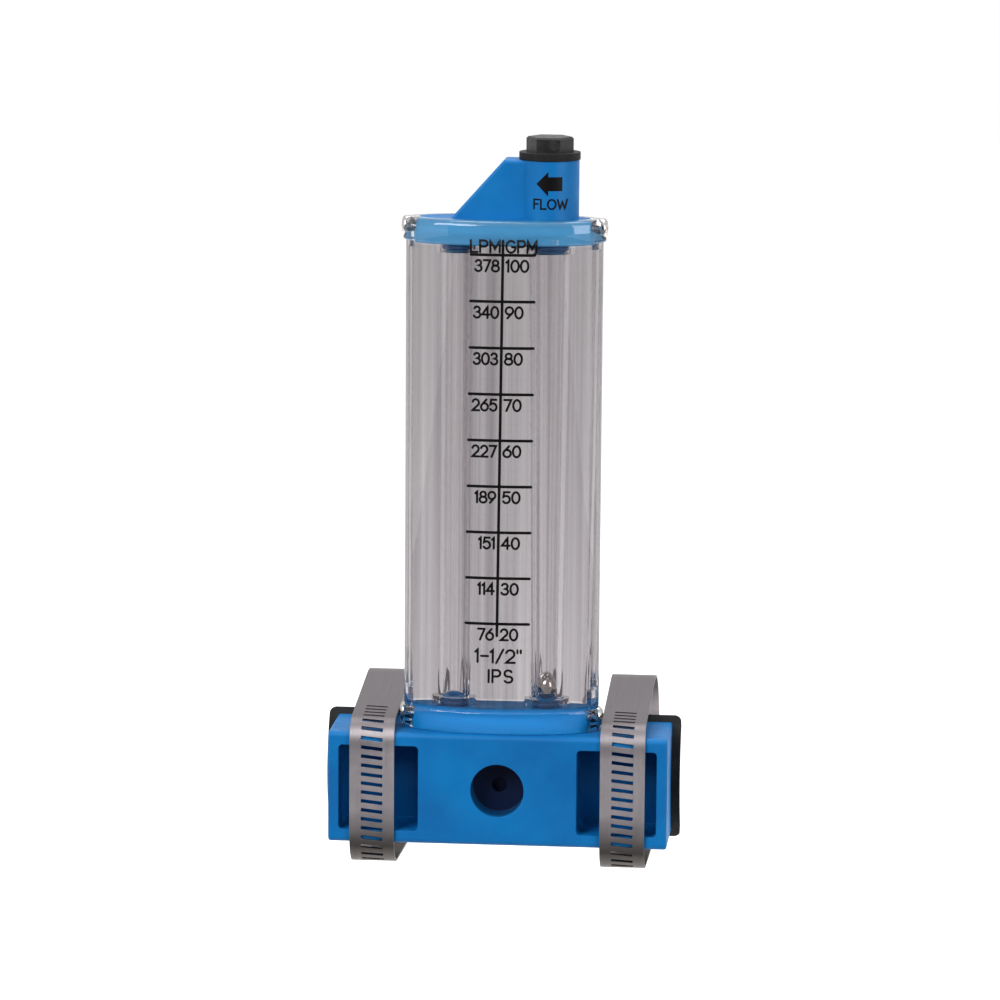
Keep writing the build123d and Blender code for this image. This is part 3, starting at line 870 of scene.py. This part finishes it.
class MeshKit:
    """Functions that turn arrays of points into mesh objects."""

    # A fold sharper than this, in degrees, keeps its edge
    SHARP = 30.0

    @staticmethod
    def quads(rows: int, columns: int, closed: bool) -> np.ndarray:
        """Return the corners of the faces between a grid's points.

        Each face joins point (r, c) to (r, c + 1), (r + 1, c + 1) and (r + 1, c), where
        point (r, c) has the index r times columns plus c.

        Args:
            rows: Rows of points.
            columns: Points in each row.
            closed: True where each row's last point is joined to its first.

        Returns:
            Vertex indices, as F rows by 4.
        """
        row = np.arange(rows - 1)[:, None] * columns
        step = np.arange(columns if closed else columns - 1)[None, :]
        after = (step + 1) % columns
        corners = (row + step, row + after, row + columns + after, row + columns + step)
        return np.stack(corners, axis=-1).reshape(-1, 4)

    @classmethod
    def make(cls, name: str, points: np.ndarray, faces: List[List[int]]) -> bpy.types.Object:
        """Make a smooth-shaded mesh object whose sharper folds stay sharp.

        Args:
            name: The object's name.
            points: Vertices as an array of N rows by 3, in millimetres.
            faces: Vertex indices of each face.

        Returns:
            The object, linked to the scene.
        """
        mesh = bpy.data.meshes.new(name)
        mesh.from_pydata(mm(points).tolist(), [], faces)
        mesh.validate()
        mesh.shade_smooth()
        mesh.set_sharp_from_angle(angle=math.radians(cls.SHARP))
        made = bpy.data.objects.new(name, mesh)
        bpy.context.scene.collection.objects.link(made)
        return made

    @classmethod
    def tube(cls, name: str, rings: np.ndarray) -> bpy.types.Object:
        """Join closed rings of points into a tube with flat ends.

        Args:
            name: The object's name.
            rings: An array of R rings by N points by 3, in millimetres.

        Returns:
            The object.
        """
        count, around = rings.shape[:2]
        faces = cls.quads(count, around, True).tolist()
        faces.append(np.arange(around)[::-1].tolist())
        faces.append(((count - 1) * around + np.arange(around)).tolist())
        return cls.make(name, rings.reshape(-1, 3), faces)

    @classmethod
    def ovals(cls, name: str, centre: Point, levels: np.ndarray, around: int) -> bpy.types.Object:
        """Make an upright solid from ovals stacked along Z.

        A point of the ring at height z is
            x = centre x + a cos t,  y = centre y + b sin t,  t from 0 to a full turn.

        Args:
            name: The object's name.
            centre: X and Y of the axis.
            levels: Half width a, half depth b and height z of each ring, as R rows by 3.
            around: Points in each ring.

        Returns:
            The object.
        """
        turn = np.linspace(0.0, 2.0 * np.pi, around, endpoint=False)
        wide, deep, height = levels[:, :1], levels[:, 1:2], levels[:, 2:]
        across = centre[0] + wide * np.cos(turn)
        along = centre[1] + deep * np.sin(turn)
        return cls.tube(name, np.stack([across, along, height + 0.0 * across], axis=-1))

    @classmethod
    def subtract(cls, target: bpy.types.Object, cutters: Sequence[bpy.types.Object]) -> None:
        """Cut the cutters out of the target and delete them.

        Args:
            target: The object that is cut.
            cutters: The objects that cut it.
        """
        for cutter in cutters:
            modifier = target.modifiers.new("cut", "BOOLEAN")
            modifier.operation = "DIFFERENCE"
            modifier.solver = "EXACT"
            modifier.object = cutter
        graph = bpy.context.evaluated_depsgraph_get()
        cut = bpy.data.meshes.new_from_object(target.evaluated_get(graph))
        target.modifiers.clear()
        target.data = cut
        cut.shade_smooth()
        cut.set_sharp_from_angle(angle=math.radians(cls.SHARP))
        for cutter in cutters:
            bpy.data.objects.remove(cutter, do_unlink=True)


@dataclass(frozen=True)
class CarriedNodes:
    """CAD nodes of one sub-assembly, which keep their shape and get their slot's finish."""

    title: str
    finishes: Tuple[Tuple[Slot, Finish], ...]

    def dress(self, frame: dict) -> None:
        """Give each node its finish.
        """
        for slot, finish in self.finishes:
            material = finish.material()
            names = [
                part["node"]
                for part in frame["record"]["subparts"]
                if part["material_slot"] == slot.value
            ]
            for name in names:
                for place in frame["nodes"][name].material_slots:
                    place.material = material
            log.info("%s: %s on %s", self.title, finish.name, ", ".join(names))


@dataclass(frozen=True)
class ClearBody:
    """The clear body: an oval bar with lips, end pockets and two bores. Sizes in mm."""

    centre_y: float = -33.5
    bottom: float = 16.0
    top: float = 162.0
    half_width: float = 27.8
    half_depth: float = 10.9
    lip_growth: float = 0.8
    lip_height: float = 6.5
    lip_round: float = 0.6
    lip_end_round: float = 1.8
    # The pockets close on the spigots here: an air film would mirror the blue away
    pocket_half_width: float = 23.95
    pocket_half_depth: float = 8.55
    pocket_depth: float = 7.15
    recess_radius: float = 6.1
    outlet_recess_radius: float = 7.2
    recess_height: float = 2.4
    port_x: float = 12.5
    taper_bottom_radius: float = 4.25
    taper_top_radius: float = 5.9
    return_radius: float = 4.5
    screw_heights: Tuple[float, float] = (20.0, 159.4)
    screw_seat_x: float = 27.0
    screw_head_room: float = 3.2
    screw_head_depth: float = 4.0
    screw_hole_radius: float = 1.65
    screw_hole_depth: float = 7.5
    overcut: float = 2.0
    around: int = 288
    bore_around: int = 96
    screw_around: int = 48
    round_steps: int = 7

    def outline(self) -> np.ndarray:
        """Return the rings of the outside, with rounded lip edges.

        At angle t from 0 to a quarter turn, the lip's end lies R (1 - sin t) in and
        R (1 - cos t) up, and its shoulder r (1 - cos t) in and r (1 - sin t) down.

        Returns:
            Half width, half depth and height of each ring.
        """
        turn = np.linspace(0.0, math.pi / 2.0, self.round_steps)
        short, long = 1.0 - np.sin(turn), 1.0 - np.cos(turn)
        lip_top = self.bottom + self.lip_height
        growth = np.concatenate(
            [
                self.lip_growth - self.lip_end_round * short,
                self.lip_growth - self.lip_round * long,
                [0.0],
            ]
        )
        height = np.concatenate(
            [self.bottom + self.lip_end_round * long, lip_top - self.lip_round * short, [lip_top]]
        )
        growth = np.concatenate([growth, growth[::-1]])
        height = np.concatenate([height, self.bottom + self.top - height[::-1]])
        return np.stack([self.half_width + growth, self.half_depth + growth, height], axis=1)

    def bore(self, name: str, x: float, rows: Sequence[Point]) -> bpy.types.Object:
        """Return the solid of one bore, from the radius and height of each step."""
        levels = np.array(rows)[:, [0, 0, 1]]
        return MeshKit.ovals(name, (x, self.centre_y), levels, self.bore_around)

    def pocket(self, name: str, low: float, high: float) -> bpy.types.Object:
        """Return the solid of one end pocket.

        Args:
            name: The cutter's name.
            low: Height of its foot.
            high: Height of its top.

        Returns:
            The cutter.
        """
        wide, deep = self.pocket_half_width, self.pocket_half_depth
        levels = np.array([(wide, deep, low), (wide, deep, high)])
        return MeshKit.ovals(name, (0.0, self.centre_y), levels, self.around)

    def screw(self, side: float, height: float) -> bpy.types.Object:
        """Return the solid of one screw's hole and head room, lying along X.

        A point of a ring is  y = centre y + r cos t,  z = height + r sin t.

        Args:
            side: -1 for the left and 1 for the right.
            height: Height of the screw's axis.

        Returns:
            The cutter.
        """
        seat, hole, room = self.screw_seat_x, self.screw_hole_radius, self.screw_head_room
        inner, outer = seat - self.screw_hole_depth, seat + self.screw_head_depth
        table = np.array([(hole, inner), (hole, seat), (room, seat), (room, outer)])
        turn = np.linspace(0.0, 2.0 * np.pi, self.screw_around, endpoint=False) * side
        radius, x = table[:, :1], table[:, 1:]
        along = self.centre_y + radius * np.cos(turn)
        up = height + radius * np.sin(turn)
        return MeshKit.tube("cut_screw", np.stack([side * x + 0.0 * along, along, up], axis=-1))

    def cutters(self) -> List[bpy.types.Object]:
        """Return the solids of every hollow in the body."""
        over, ring, plain = self.overcut, self.recess_radius, self.return_radius
        outlet = self.outlet_recess_radius
        floor, roof = self.bottom + self.pocket_depth, self.top - self.pocket_depth
        low, high = floor + self.recess_height, roof - self.recess_height
        left = [(ring, floor - over), (ring, low), (plain, low)]
        left += [(plain, high), (ring, high), (ring, roof + over)]
        right = [(ring, floor - over), (ring, low), (self.taper_bottom_radius, low)]
        right += [(self.taper_top_radius, high), (outlet, high), (outlet, roof + over)]
        parts = [
            self.pocket("cut_foot", self.bottom - over, floor),
            self.pocket("cut_head", roof, self.top + over),
            self.bore("cut_left", -self.port_x, left),
            self.bore("cut_right", self.port_x, right),
        ]
        for side in (-1.0, 1.0):
            parts += [self.screw(side, height) for height in self.screw_heights]
        return parts

    def build(self, frame: dict) -> None:
        """Put the smooth clear body in the CAD node's place.
        """
        centre = (0.0, self.centre_y)
        piece = MeshKit.ovals("clear_body", centre, self.outline(), self.around)
        MeshKit.subtract(piece, self.cutters())
        material = MouldedAcrylic().material()
        piece.data.materials.append(material)
        for place in frame["nodes"]["meter_body"].material_slots:
            place.material = material
        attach(piece, "frame")
        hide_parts("meter_body")
        log.info("%s: %d faces", piece.name, len(piece.data.polygons))


def arc(centre: Point, radii: Point, start: float, end: float, count: int = 16) -> np.ndarray:
    """Return points on an oval's arc.

    A point is  x = centre x + rx cos t,  y = centre y + ry sin t.

    Args:
        centre: The oval's centre.
        radii: Its half width rx and half height ry.
        start: First angle in degrees.
        end: Last angle in degrees.
        count: Number of steps.

    Returns:
        The points, as N rows by 2.
    """
    turn = np.radians(np.linspace(start, end, count + 1))
    return np.stack([centre[0] + radii[0] * np.cos(turn), centre[1] + radii[1] * np.sin(turn)], 1)


@dataclass(frozen=True)
class Word:
    """One printed word, in a plain single-stroke alphabet like a drawing machine's.

    Its place is the X of its anchor and the Y of its base line, and its height is that of the
    capitals, in millimetres. The gap between characters is in capital heights.
    """

    text: str
    place: Point
    height: float
    gap: float
    align: Align
    stretch: float = 1.0

    @staticmethod
    def glyphs() -> Dict[str, Tuple[float, List[np.ndarray]]]:
        """Return the alphabet.

        Returns:
            For each character its width and its lines, in units of the capital height.
        """
        round_0 = arc((0.33, 0.5), (0.33, 0.5), 90.0, 450.0, 32)
        two = arc((0.32, 0.69), (0.3, 0.31), 165.0, -40.0)
        three_top = arc((0.31, 0.76), (0.26, 0.24), 160.0, -90.0)
        three_low = arc((0.31, 0.27), (0.31, 0.27), 90.0, -160.0)[1:]
        five = arc((0.32, 0.33), (0.32, 0.33), 125.0, -150.0)
        six = arc((0.33, 0.33), (0.33, 0.33), 150.0, 510.0, 28)
        eight_top = arc((0.33, 0.76), (0.26, 0.24), 90.0, 450.0, 24)
        eight_low = arc((0.33, 0.27), (0.33, 0.27), 90.0, 450.0, 26)
        nine = arc((0.33, 0.67), (0.33, 0.33), -30.0, 330.0, 28)
        letter_g = arc((0.42, 0.5), (0.42, 0.5), 48.0, 345.0, 26)
        letter_o = arc((0.43, 0.5), (0.43, 0.5), 90.0, 450.0, 32)
        s_top = arc((0.33, 0.74), (0.29, 0.26), 30.0, 262.0, 18)
        s_low = arc((0.34, 0.25), (0.32, 0.25), 82.0, -150.0, 18)
        bowl = arc((0.36, 0.74), (0.26, 0.26), 90.0, -90.0)
        table = {
            "0": (0.66, [[round_0]]),
            "1": (0.24, [[(0.0, 0.82), (0.17, 1.0), (0.17, 0.0)]]),
            "2": (0.66, [[two, (0.02, 0.0), (0.66, 0.0)]]),
            "3": (0.64, [[three_top, three_low]]),
            "4": (0.68, [[(0.5, 0.0), (0.5, 1.0), (0.0, 0.3), (0.68, 0.3)]]),
            "5": (0.66, [[(0.6, 1.0), (0.12, 1.0), (0.06, 0.56), five]]),
            "6": (0.66, [[(0.5, 1.0), six]]),
            "7": (0.62, [[(0.0, 1.0), (0.62, 1.0), (0.2, 0.0)]]),
            "8": (0.66, [[eight_top], [eight_low]]),
            "9": (0.66, [[(0.16, 0.0), nine]]),
            "L": (0.56, [[(0.0, 1.0), (0.0, 0.0), (0.56, 0.0)]]),
            "P": (0.64, [[(0.0, 0.0), (0.0, 1.0), bowl, (0.0, 0.48)]]),
            "M": (0.78, [[(0.0, 0.0), (0.0, 1.0), (0.39, 0.3), (0.78, 1.0), (0.78, 0.0)]]),
            "G": (0.84, [[letter_g, (0.82, 0.46), (0.5, 0.46)]]),
            "F": (0.56, [[(0.56, 1.0), (0.0, 1.0), (0.0, 0.0)], [(0.0, 0.52), (0.44, 0.52)]]),
            "O": (0.86, [[letter_o]]),
            "W": (1.0, [[(0.0, 1.0), (0.25, 0.0), (0.5, 0.8), (0.75, 0.0), (1.0, 1.0)]]),
            "I": (0.02, [[(0.01, 0.0), (0.01, 1.0)]]),
            "S": (0.66, [[s_top, s_low]]),
            "-": (0.5, [[(0.0, 0.5), (0.5, 0.5)]]),
            "/": (0.5, [[(0.0, -0.05), (0.5, 1.05)]]),
            '"': (0.26, [[(0.0, 1.0), (0.0, 0.78)], [(0.24, 1.0), (0.24, 0.78)]]),
        }
        return {
            letter: (width, [np.vstack(line) for line in lines])
            for letter, (width, lines) in table.items()
        }

    def strokes(self) -> Tuple[float, List[np.ndarray]]:
        """Set the characters one after the other.

        Returns:
            The word's width and its lines, from the word's lower left corner.
        """
        table = self.glyphs()
        lines: List[np.ndarray] = []
        cursor = 0.0
        for character in self.text:
            width, shapes = table[character]
            scale = (self.height * self.stretch, self.height)
            lines += [shape * scale + (cursor, 0.0) for shape in shapes]
            cursor += (width * self.stretch + self.gap) * self.height
        return cursor - self.gap * self.height, lines


class InkFilm:
    """Ribbons and fields of ink, gathered flat and then laid on a curved surface."""

    # A straight run longer than this, in millimetres, is split so that it follows the surface
    LONGEST_RUN = 0.6
    # Points nearer than this, in millimetres, are one point
    TOUCHING = 1e-6
    # The smallest cosine of half a corner's turn that a mitre reaches out for
    TIGHTEST_LEAN = 0.45
    CAP_STEPS = 7
    FIELD_ROWS = 7
    # The share of a column's half width past which nothing is printed
    WIDEST = 0.999

    def __init__(self, stroke: float) -> None:
        """Start an empty print.

        Args:
            stroke: Width of a line, in millimetres.
        """
        self.stroke = stroke
        self.points = np.zeros((0, 2))
        self.faces: List[List[int]] = []

    def gather(self, points: np.ndarray) -> int:
        """Keep more points.

        Args:
            points: The points, as N rows by 2, in millimetres.

        Returns:
            The index of the first of them.
        """
        start = len(self.points)
        self.points = np.vstack([self.points, points])
        return start

    @classmethod
    def resample(cls, line: np.ndarray) -> np.ndarray:
        """Put points on a line's runs so that none is too long.

        The run from p to q gets n points p + (q - p) k / n, with k from 1 to n.

        Args:
            line: Points as N rows by 2.

        Returns:
            The points, with the corners kept.
        """
        runs = np.diff(line, axis=0)
        count = np.maximum(1, np.ceil(np.linalg.norm(runs, axis=1) / cls.LONGEST_RUN))
        count = count.astype(int)
        run = np.repeat(np.arange(len(runs)), count)
        step = np.arange(count.sum()) - np.repeat(np.cumsum(count) - count, count) + 1
        return np.vstack([line[:1], line[run] + runs[run] * (step / count[run])[:, None]])

    def ribbon(self, line: np.ndarray, width: float | None = None) -> None:
        """Add one stroke with mitred corners and round ends.

        At each point the edge lies at p +- n w / (2 cos h), where n is the mean of the two
        runs' normals and h half the angle between them.

        Args:
            line: The stroke's middle line, in millimetres.
            width: Its width, or None for the print's own.
        """
        half = (width or self.stroke) / 2.0
        keep = np.append(True, np.linalg.norm(np.diff(line, axis=0), axis=1) > self.TOUCHING)
        path = self.resample(line[keep])
        closed = bool(np.linalg.norm(path[0] - path[-1]) < self.TOUCHING)
        runs = np.diff(path, axis=0)
        runs /= np.linalg.norm(runs, axis=1)[:, None]
        before = np.vstack([runs[-1:] if closed else runs[:1], runs])
        after = np.vstack([runs, runs[:1] if closed else runs[-1:]])
        quarter = np.array([(0.0, 1.0), (-1.0, 0.0)])
        normals = (before + after) @ quarter
        normals /= np.linalg.norm(normals, axis=1)[:, None]
        lean = np.clip(np.sum(normals * (after @ quarter), axis=1), self.TIGHTEST_LEAN, 1.0)
        offset = normals * (half / lean)[:, None]
        edges = np.stack([path + offset, path - offset], axis=1).reshape(-1, 2)
        start = self.gather(edges)
        self.faces += (start + MeshKit.quads(len(path), 2, False)).tolist()
        if not closed:
            last = start + len(edges) - 2
            self.cap((start, start + 1), path[0], -runs[0], half)
            self.cap((last + 1, last), path[-1], runs[-1], half)

    def cap(
        self, edge: Tuple[int, int], middle: np.ndarray, outwards: np.ndarray, half: float
    ) -> None:
        """Round off one end of a stroke with half a disc.

        A point is the middle + half (cos t, sin t), with t over the half turn about outwards.

        Args:
            edge: The end's two edge points, in the order that the arc joins them.
            middle: The end of the middle line.
            outwards: Direction out of the stroke's end.
            half: Half the stroke's width.
        """
        quarter = math.pi / 2.0
        turn = np.linspace(-quarter, quarter, self.CAP_STEPS)[1:-1]
        turn += math.atan2(outwards[1], outwards[0])
        start = self.gather(middle + half * np.stack([np.cos(turn), np.sin(turn)], axis=1))
        self.faces.append([edge[0], *range(start, len(self.points)), edge[1]])

    def word(self, word: Word) -> None:
        """Add a word.

        Args:
            word: The word.
        """
        width, lines = word.strokes()
        corner = np.array([word.place[0] - word.align.value * width, word.place[1]])
        for line in lines:
            self.ribbon(corner + line)

    def field(self, x: np.ndarray, low: np.ndarray, high: np.ndarray) -> None:
        """Add a filled field from upright columns.

        A point at share s of its column's height is (x, low + s (high - low)).

        Args:
            x: X of each column, in millimetres.
            low: Its lower edge.
            high: Its upper edge.
        """
        share = np.linspace(0.0, 1.0, self.FIELD_ROWS)
        heights = low[:, None] + (high - low)[:, None] * share
        points = np.stack([x[:, None] + 0.0 * heights, heights], axis=-1)
        start = self.gather(points.reshape(-1, 2))
        self.faces += (start + MeshKit.quads(len(x), self.FIELD_ROWS, False)[:, ::-1]).tolist()

    def lay(
        self, name: str, centre: Point, radii: Point, film: float, slant: Point = (0.0, 0.0)
    ) -> bpy.types.Object:
        """Lay the print on the front of an upright oval column.

        A flat point (u, v) goes to  x = u + shift + slope v,  z = v  and
            y = centre y - (b + film) sqrt(1 - ((x - centre x) / (a + film))^2).

        Args:
            name: The name of the object to make.
            centre: X and Y of the column's axis, in millimetres.
            radii: Half width a and half depth b of the column.
            film: Height of the ink above the surface.
            slant: Shift and slope of X.

        Returns:
            The print as an object.
        """
        height = self.points[:, 1]
        x = self.points[:, 0] + slant[0] + slant[1] * height
        share = np.clip((x - centre[0]) / (radii[0] + film), -self.WIDEST, self.WIDEST)
        y = centre[1] - (radii[1] + film) * np.sqrt(1.0 - share**2)
        return MeshKit.make(name, np.stack([x, y, height], axis=1), self.faces)


@dataclass(frozen=True)
class FlowScale:
    """The flow scale printed on the clear body's front. Sizes in mm."""

    litres: Tuple[str, ...] = ("76", "114", "151", "189", "227", "265", "303", "340", "378")
    gallons: Tuple[str, ...] = ("20", "30", "40", "50", "60", "70", "80", "90", "100")
    lowest_tick: float = 47.98
    highest_tick: float = 152.55
    line_foot_x: float = -0.41
    line_head_x: float = 0.47
    foot: float = 3.4
    tick_half_length: float = 8.9
    stroke: float = 0.64
    tick_stroke: float = 0.8
    cap_height: float = 3.1
    drop: float = 1.5
    margin: float = 1.05
    litre_gap: float = 0.17
    litre_stretch: float = 0.95
    gallon_gap: float = 0.2
    # The middle line ends at the top of the two units
    line_top: float = 156.6
    words: Tuple[Word, ...] = (
        Word("LPM", (-0.9, 153.3), 3.3, 0.22, Align.RIGHT, 1.02),
        Word("GPM", (0.95, 153.3), 3.3, 0.2, Align.LEFT, 0.94),
        Word('1-1/2"', (0.45, 36.9), 3.6, 0.2, Align.MIDDLE, 1.08),
        Word("IPS", (1.2, 31.2), 3.5, 0.3, Align.MIDDLE),
    )
    film: float = 0.03

    def build(self, body: ClearBody, ink: bpy.types.Material) -> None:
        """Print the two columns of figures, the ticks and the middle line.

        Args:
            body: The clear body that carries the print.
            ink: The ink.
        """
        print_film = InkFilm(self.stroke)
        slope = (self.line_head_x - self.line_foot_x) / (self.highest_tick - self.lowest_tick)
        heights = np.linspace(self.lowest_tick, self.highest_tick, len(self.litres))
        middle = np.array([(0.0, self.lowest_tick - self.foot), (0.0, self.line_top)])
        print_film.ribbon(middle, self.tick_stroke)
        half, cap = self.tick_half_length, self.cap_height
        for height, litres, gallons in zip(heights.tolist(), self.litres, self.gallons):
            print_film.ribbon(np.array([(-half, height), (half, height)]), self.tick_stroke)
            base = height - self.drop - cap
            left, right = (-self.margin, base), (self.margin, base)
            gap, stretch = self.litre_gap, self.litre_stretch
            print_film.word(Word(litres, left, cap, gap, Align.RIGHT, stretch))
            print_film.word(Word(gallons, right, cap, self.gallon_gap, Align.LEFT))
        for word in self.words:
            print_film.word(word)
        piece = print_film.lay(
            "printed_scale",
            (0.0, body.centre_y),
            (body.half_width, body.half_depth),
            self.film,
            (self.line_foot_x - slope * self.lowest_tick, slope),
        )
        piece.data.materials.append(ink)
        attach(piece, "frame")
        log.info("%s: %d faces", piece.name, len(piece.data.polygons))


@dataclass(frozen=True)
class FlowArrow:
    """The arrow printed on the cap's round boss, with its word below. Sizes in mm."""

    boss_radius: float = 8.3
    tip: float = 9.45
    shoulder: float = 12.75
    tail: float = 16.6
    middle: float = 172.3
    head_half: float = 3.4
    shaft_half: float = 1.95
    # The tip's width, as a share of the head's
    tip_share: float = 0.02
    columns: int = 12
    stroke: float = 0.5
    word: Word = Word("FLOW", (13.35, 165.35), 2.6, 0.2, Align.MIDDLE, 0.98)
    film: float = 0.03

    def build(self, body: ClearBody, ink: bpy.types.Material) -> None:
        """Print the arrow and its word.

        Args:
            body: The clear body, whose port the boss stands over.
            ink: The ink.
        """
        print_film = InkFilm(self.stroke)
        # The head widens from the tip to the shoulder, and the shaft runs on to the tail
        widths = self.head_half * np.linspace(self.tip_share, 1.0, self.columns)
        head = np.linspace(self.tip, self.shoulder, self.columns)
        print_film.field(head, self.middle - widths, self.middle + widths)
        shaft = np.linspace(self.shoulder, self.tail, self.columns)
        narrow = np.full(self.columns, self.shaft_half)
        print_film.field(shaft, self.middle - narrow, self.middle + narrow)
        print_film.word(self.word)
        centre, radii = (body.port_x, body.centre_y), (self.boss_radius, self.boss_radius)
        piece = print_film.lay("printed_flow_arrow", centre, radii, self.film)
        piece.data.materials.append(ink)
        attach(piece, "frame")
        log.info("%s: %d faces", piece.name, len(piece.data.polygons))


@dataclass(frozen=True)
class Lamp:
    """One rectangular soft lamp: places and sizes in metres, power in watts."""

    name: str
    place: Place
    size: Point
    watts: float
    aim: Place = (0.0, -0.025, 0.07)

    def build(self) -> None:
        """Hang the lamp and turn it to its aim."""
        data = bpy.data.lights.new(self.name, "AREA")
        data.shape = "RECTANGLE"
        data.size, data.size_y = self.size
        data.energy = self.watts
        lamp = bpy.data.objects.new(self.name, data)
        lamp.location = self.place
        facing = Vector(self.aim) - Vector(self.place)
        lamp.rotation_euler = facing.to_track_quat("-Z", "Y").to_euler()
        bpy.context.scene.collection.objects.link(lamp)
        log.info("%s: %.0f W", self.name, self.watts)


@dataclass(frozen=True)
class Flag:
    """One cloth that the camera doesn't see and the object mirrors: sizes in metres."""

    name: str
    place: Place
    size: Point
    # Its turn about X in degrees: at 0 it stands upright, and at 90 it lies flat
    tilt: float
    shade: Tint

    def build(self) -> None:
        """Stretch the cloth."""
        wide, tall = self.size[0] / 2.0, self.size[1] / 2.0
        mesh = bpy.data.meshes.new(self.name)
        corners = [(-wide, 0.0, -tall), (wide, 0.0, -tall), (wide, 0.0, tall), (-wide, 0.0, tall)]
        mesh.from_pydata(corners, [], [(0, 1, 2, 3)])
        cloth = bpy.data.objects.new(self.name, mesh)
        cloth.location = self.place
        cloth.rotation_euler = (math.radians(self.tilt), 0.0, 0.0)
        cloth.visible_camera = False
        cloth.visible_transmission = False
        bpy.context.scene.collection.objects.link(cloth)
        cloth.data.materials.append(FlagCloth(shade=self.shade).material())
        log.info("%s: %s", self.name, self.shade.name)


@dataclass(frozen=True)
class PhotoCamera:
    """The camera, where the photograph was taken from: lengths in millimetres."""

    azimuth: float = 5.1
    elevation: float = 9.6
    roll: float = 0.43
    distance: float = 1416.0
    target: Place = (-2.0, -20.0, 79.3)
    focal_pixels: float = 4957.0
    frame_pixels: float = 1000.0
    sensor: float = 36.0
    clip: Point = (0.05, 60.0)

    def build(self) -> None:
        """Stand the camera up and aim it."""
        turn, lift = math.radians(self.azimuth), math.radians(self.elevation)
        level = math.cos(lift)
        back = Vector((math.sin(turn) * level, -math.cos(turn) * level, math.sin(lift)))
        data = bpy.data.cameras.new("photo_camera")
        data.sensor_fit = "HORIZONTAL"
        data.sensor_width = self.sensor
        data.lens = self.focal_pixels / self.frame_pixels * self.sensor
        data.clip_start, data.clip_end = self.clip
        camera = bpy.data.objects.new("photo_camera", data)
        bpy.context.scene.collection.objects.link(camera)
        aimed = (-back).to_track_quat("-Z", "Y").to_matrix().to_4x4()
        rolled = Matrix.Rotation(math.radians(self.roll), 4, "Z")
        place = Vector([mm(value) for value in self.target]) + back * mm(self.distance)
        camera.matrix_world = Matrix.Translation(place) @ aimed @ rolled
        bpy.context.scene.camera = camera
        log.info("photo_camera: %.0f mm lens", data.lens)


@dataclass(frozen=True)
class Studio:
    """Paper floor, world, flags and lamps. The meter hangs on its pipe above the paper."""

    floor_radius: float = 9.0
    floor_around: int = 96
    # Strength of the world's light on the object, where 1 is white
    fill: float = 0.4
    flags: Tuple[Flag, ...] = (
        Flag("front_flag", (0.15, -2.3, 0.35), (3.4, 2.6), 0.0, Tint.CLOTH_BLACK),
        Flag("floor_flag", FLOOR_FLAG_PLACE, FLOOR_FLAG_SIZE, 90.0, Tint.CLOTH_GREY),
    )
    lamps: Tuple[Lamp, ...] = (
        Lamp("key_box", (-0.75, -1.15, 0.95), (0.8, 0.8), 21.0),
        Lamp("fill_box", (1.1, -0.9, 0.45), (0.6, 0.9), 9.0),
        Lamp("top_box", (0.1, 0.25, 1.3), (0.9, 0.6), 8.0),
    )

    def world(self) -> None:
        """White to rays that see the background, and a soft grey fill to the rest."""
        world = bpy.data.worlds.new("studio_world")
        bpy.context.scene.world = world
        world.use_nodes = True
        graph = Graph(world.node_tree)
        seen = on_seen_rays(graph, 1.0 - self.fill)
        strength = graph.add(Kind.MATH, seen, self.fill, operation="ADD")
        graph.add(Kind.WORLD_OUTPUT, graph.add(Kind.SKY, Tint.WHITE, strength))

    def floor(self) -> None:
        """A round sheet of paper: its rim lies at  x = r cos t,  y = r sin t."""
        turn = np.linspace(0.0, 2.0 * math.pi, self.floor_around, endpoint=False)
        rim = np.stack([np.cos(turn), np.sin(turn), 0.0 * turn], axis=1) * self.floor_radius
        mesh = bpy.data.meshes.new("paper_floor")
        rim[:, 2] = FLOOR_Z
        mesh.from_pydata(rim.tolist(), [], [list(range(len(rim)))])
        floor = bpy.data.objects.new("paper_floor", mesh)
        bpy.context.scene.collection.objects.link(floor)
        floor.data.materials.append(SeamlessPaper().material())

    def build(self) -> None:
        """Build the whole studio."""
        bpy.context.scene.view_settings.view_transform = "Standard"
        self.world()
        self.floor()
        for piece in (*self.flags, *self.lamps, PhotoCamera()):
            piece.build()


CARRIED = (
    CarriedNodes("base block and cap", ((Slot.BLUE_PLASTIC, MouldedAbs()),)),
    CarriedNodes(
        "saddle and probe",
        ((Slot.SADDLE_RUBBER, SheetRubber()), (Slot.PROBE_PLASTIC, TurnedRod())),
    ),
    CarriedNodes(
        "float and seals", ((Slot.BALL_STEEL, PolishedBall()), (Slot.SEAL_RUBBER, SiliconeRing()))
    ),
    CarriedNodes(
        "plug and body screws",
        ((Slot.PLUG_PLASTIC, MouldedPlug()), (Slot.SCREW_STEEL, HeadedScrew())),
    ),
    CarriedNodes(
        "hose clamps", ((Slot.BAND_STEEL, RolledStrip()), (Slot.WORM_STEEL, TurnedWorm()))
    ),
)


def main() -> None:
    """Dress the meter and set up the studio."""
    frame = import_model()
    for part in CARRIED:
        part.dress(frame)
    body = ClearBody()
    body.build(frame)
    ink = ScreenInk().material()
    FlowScale().build(body, ink)
    FlowArrow().build(body, ink)
    Studio().build()


if __name__ == "__main__":
    main()
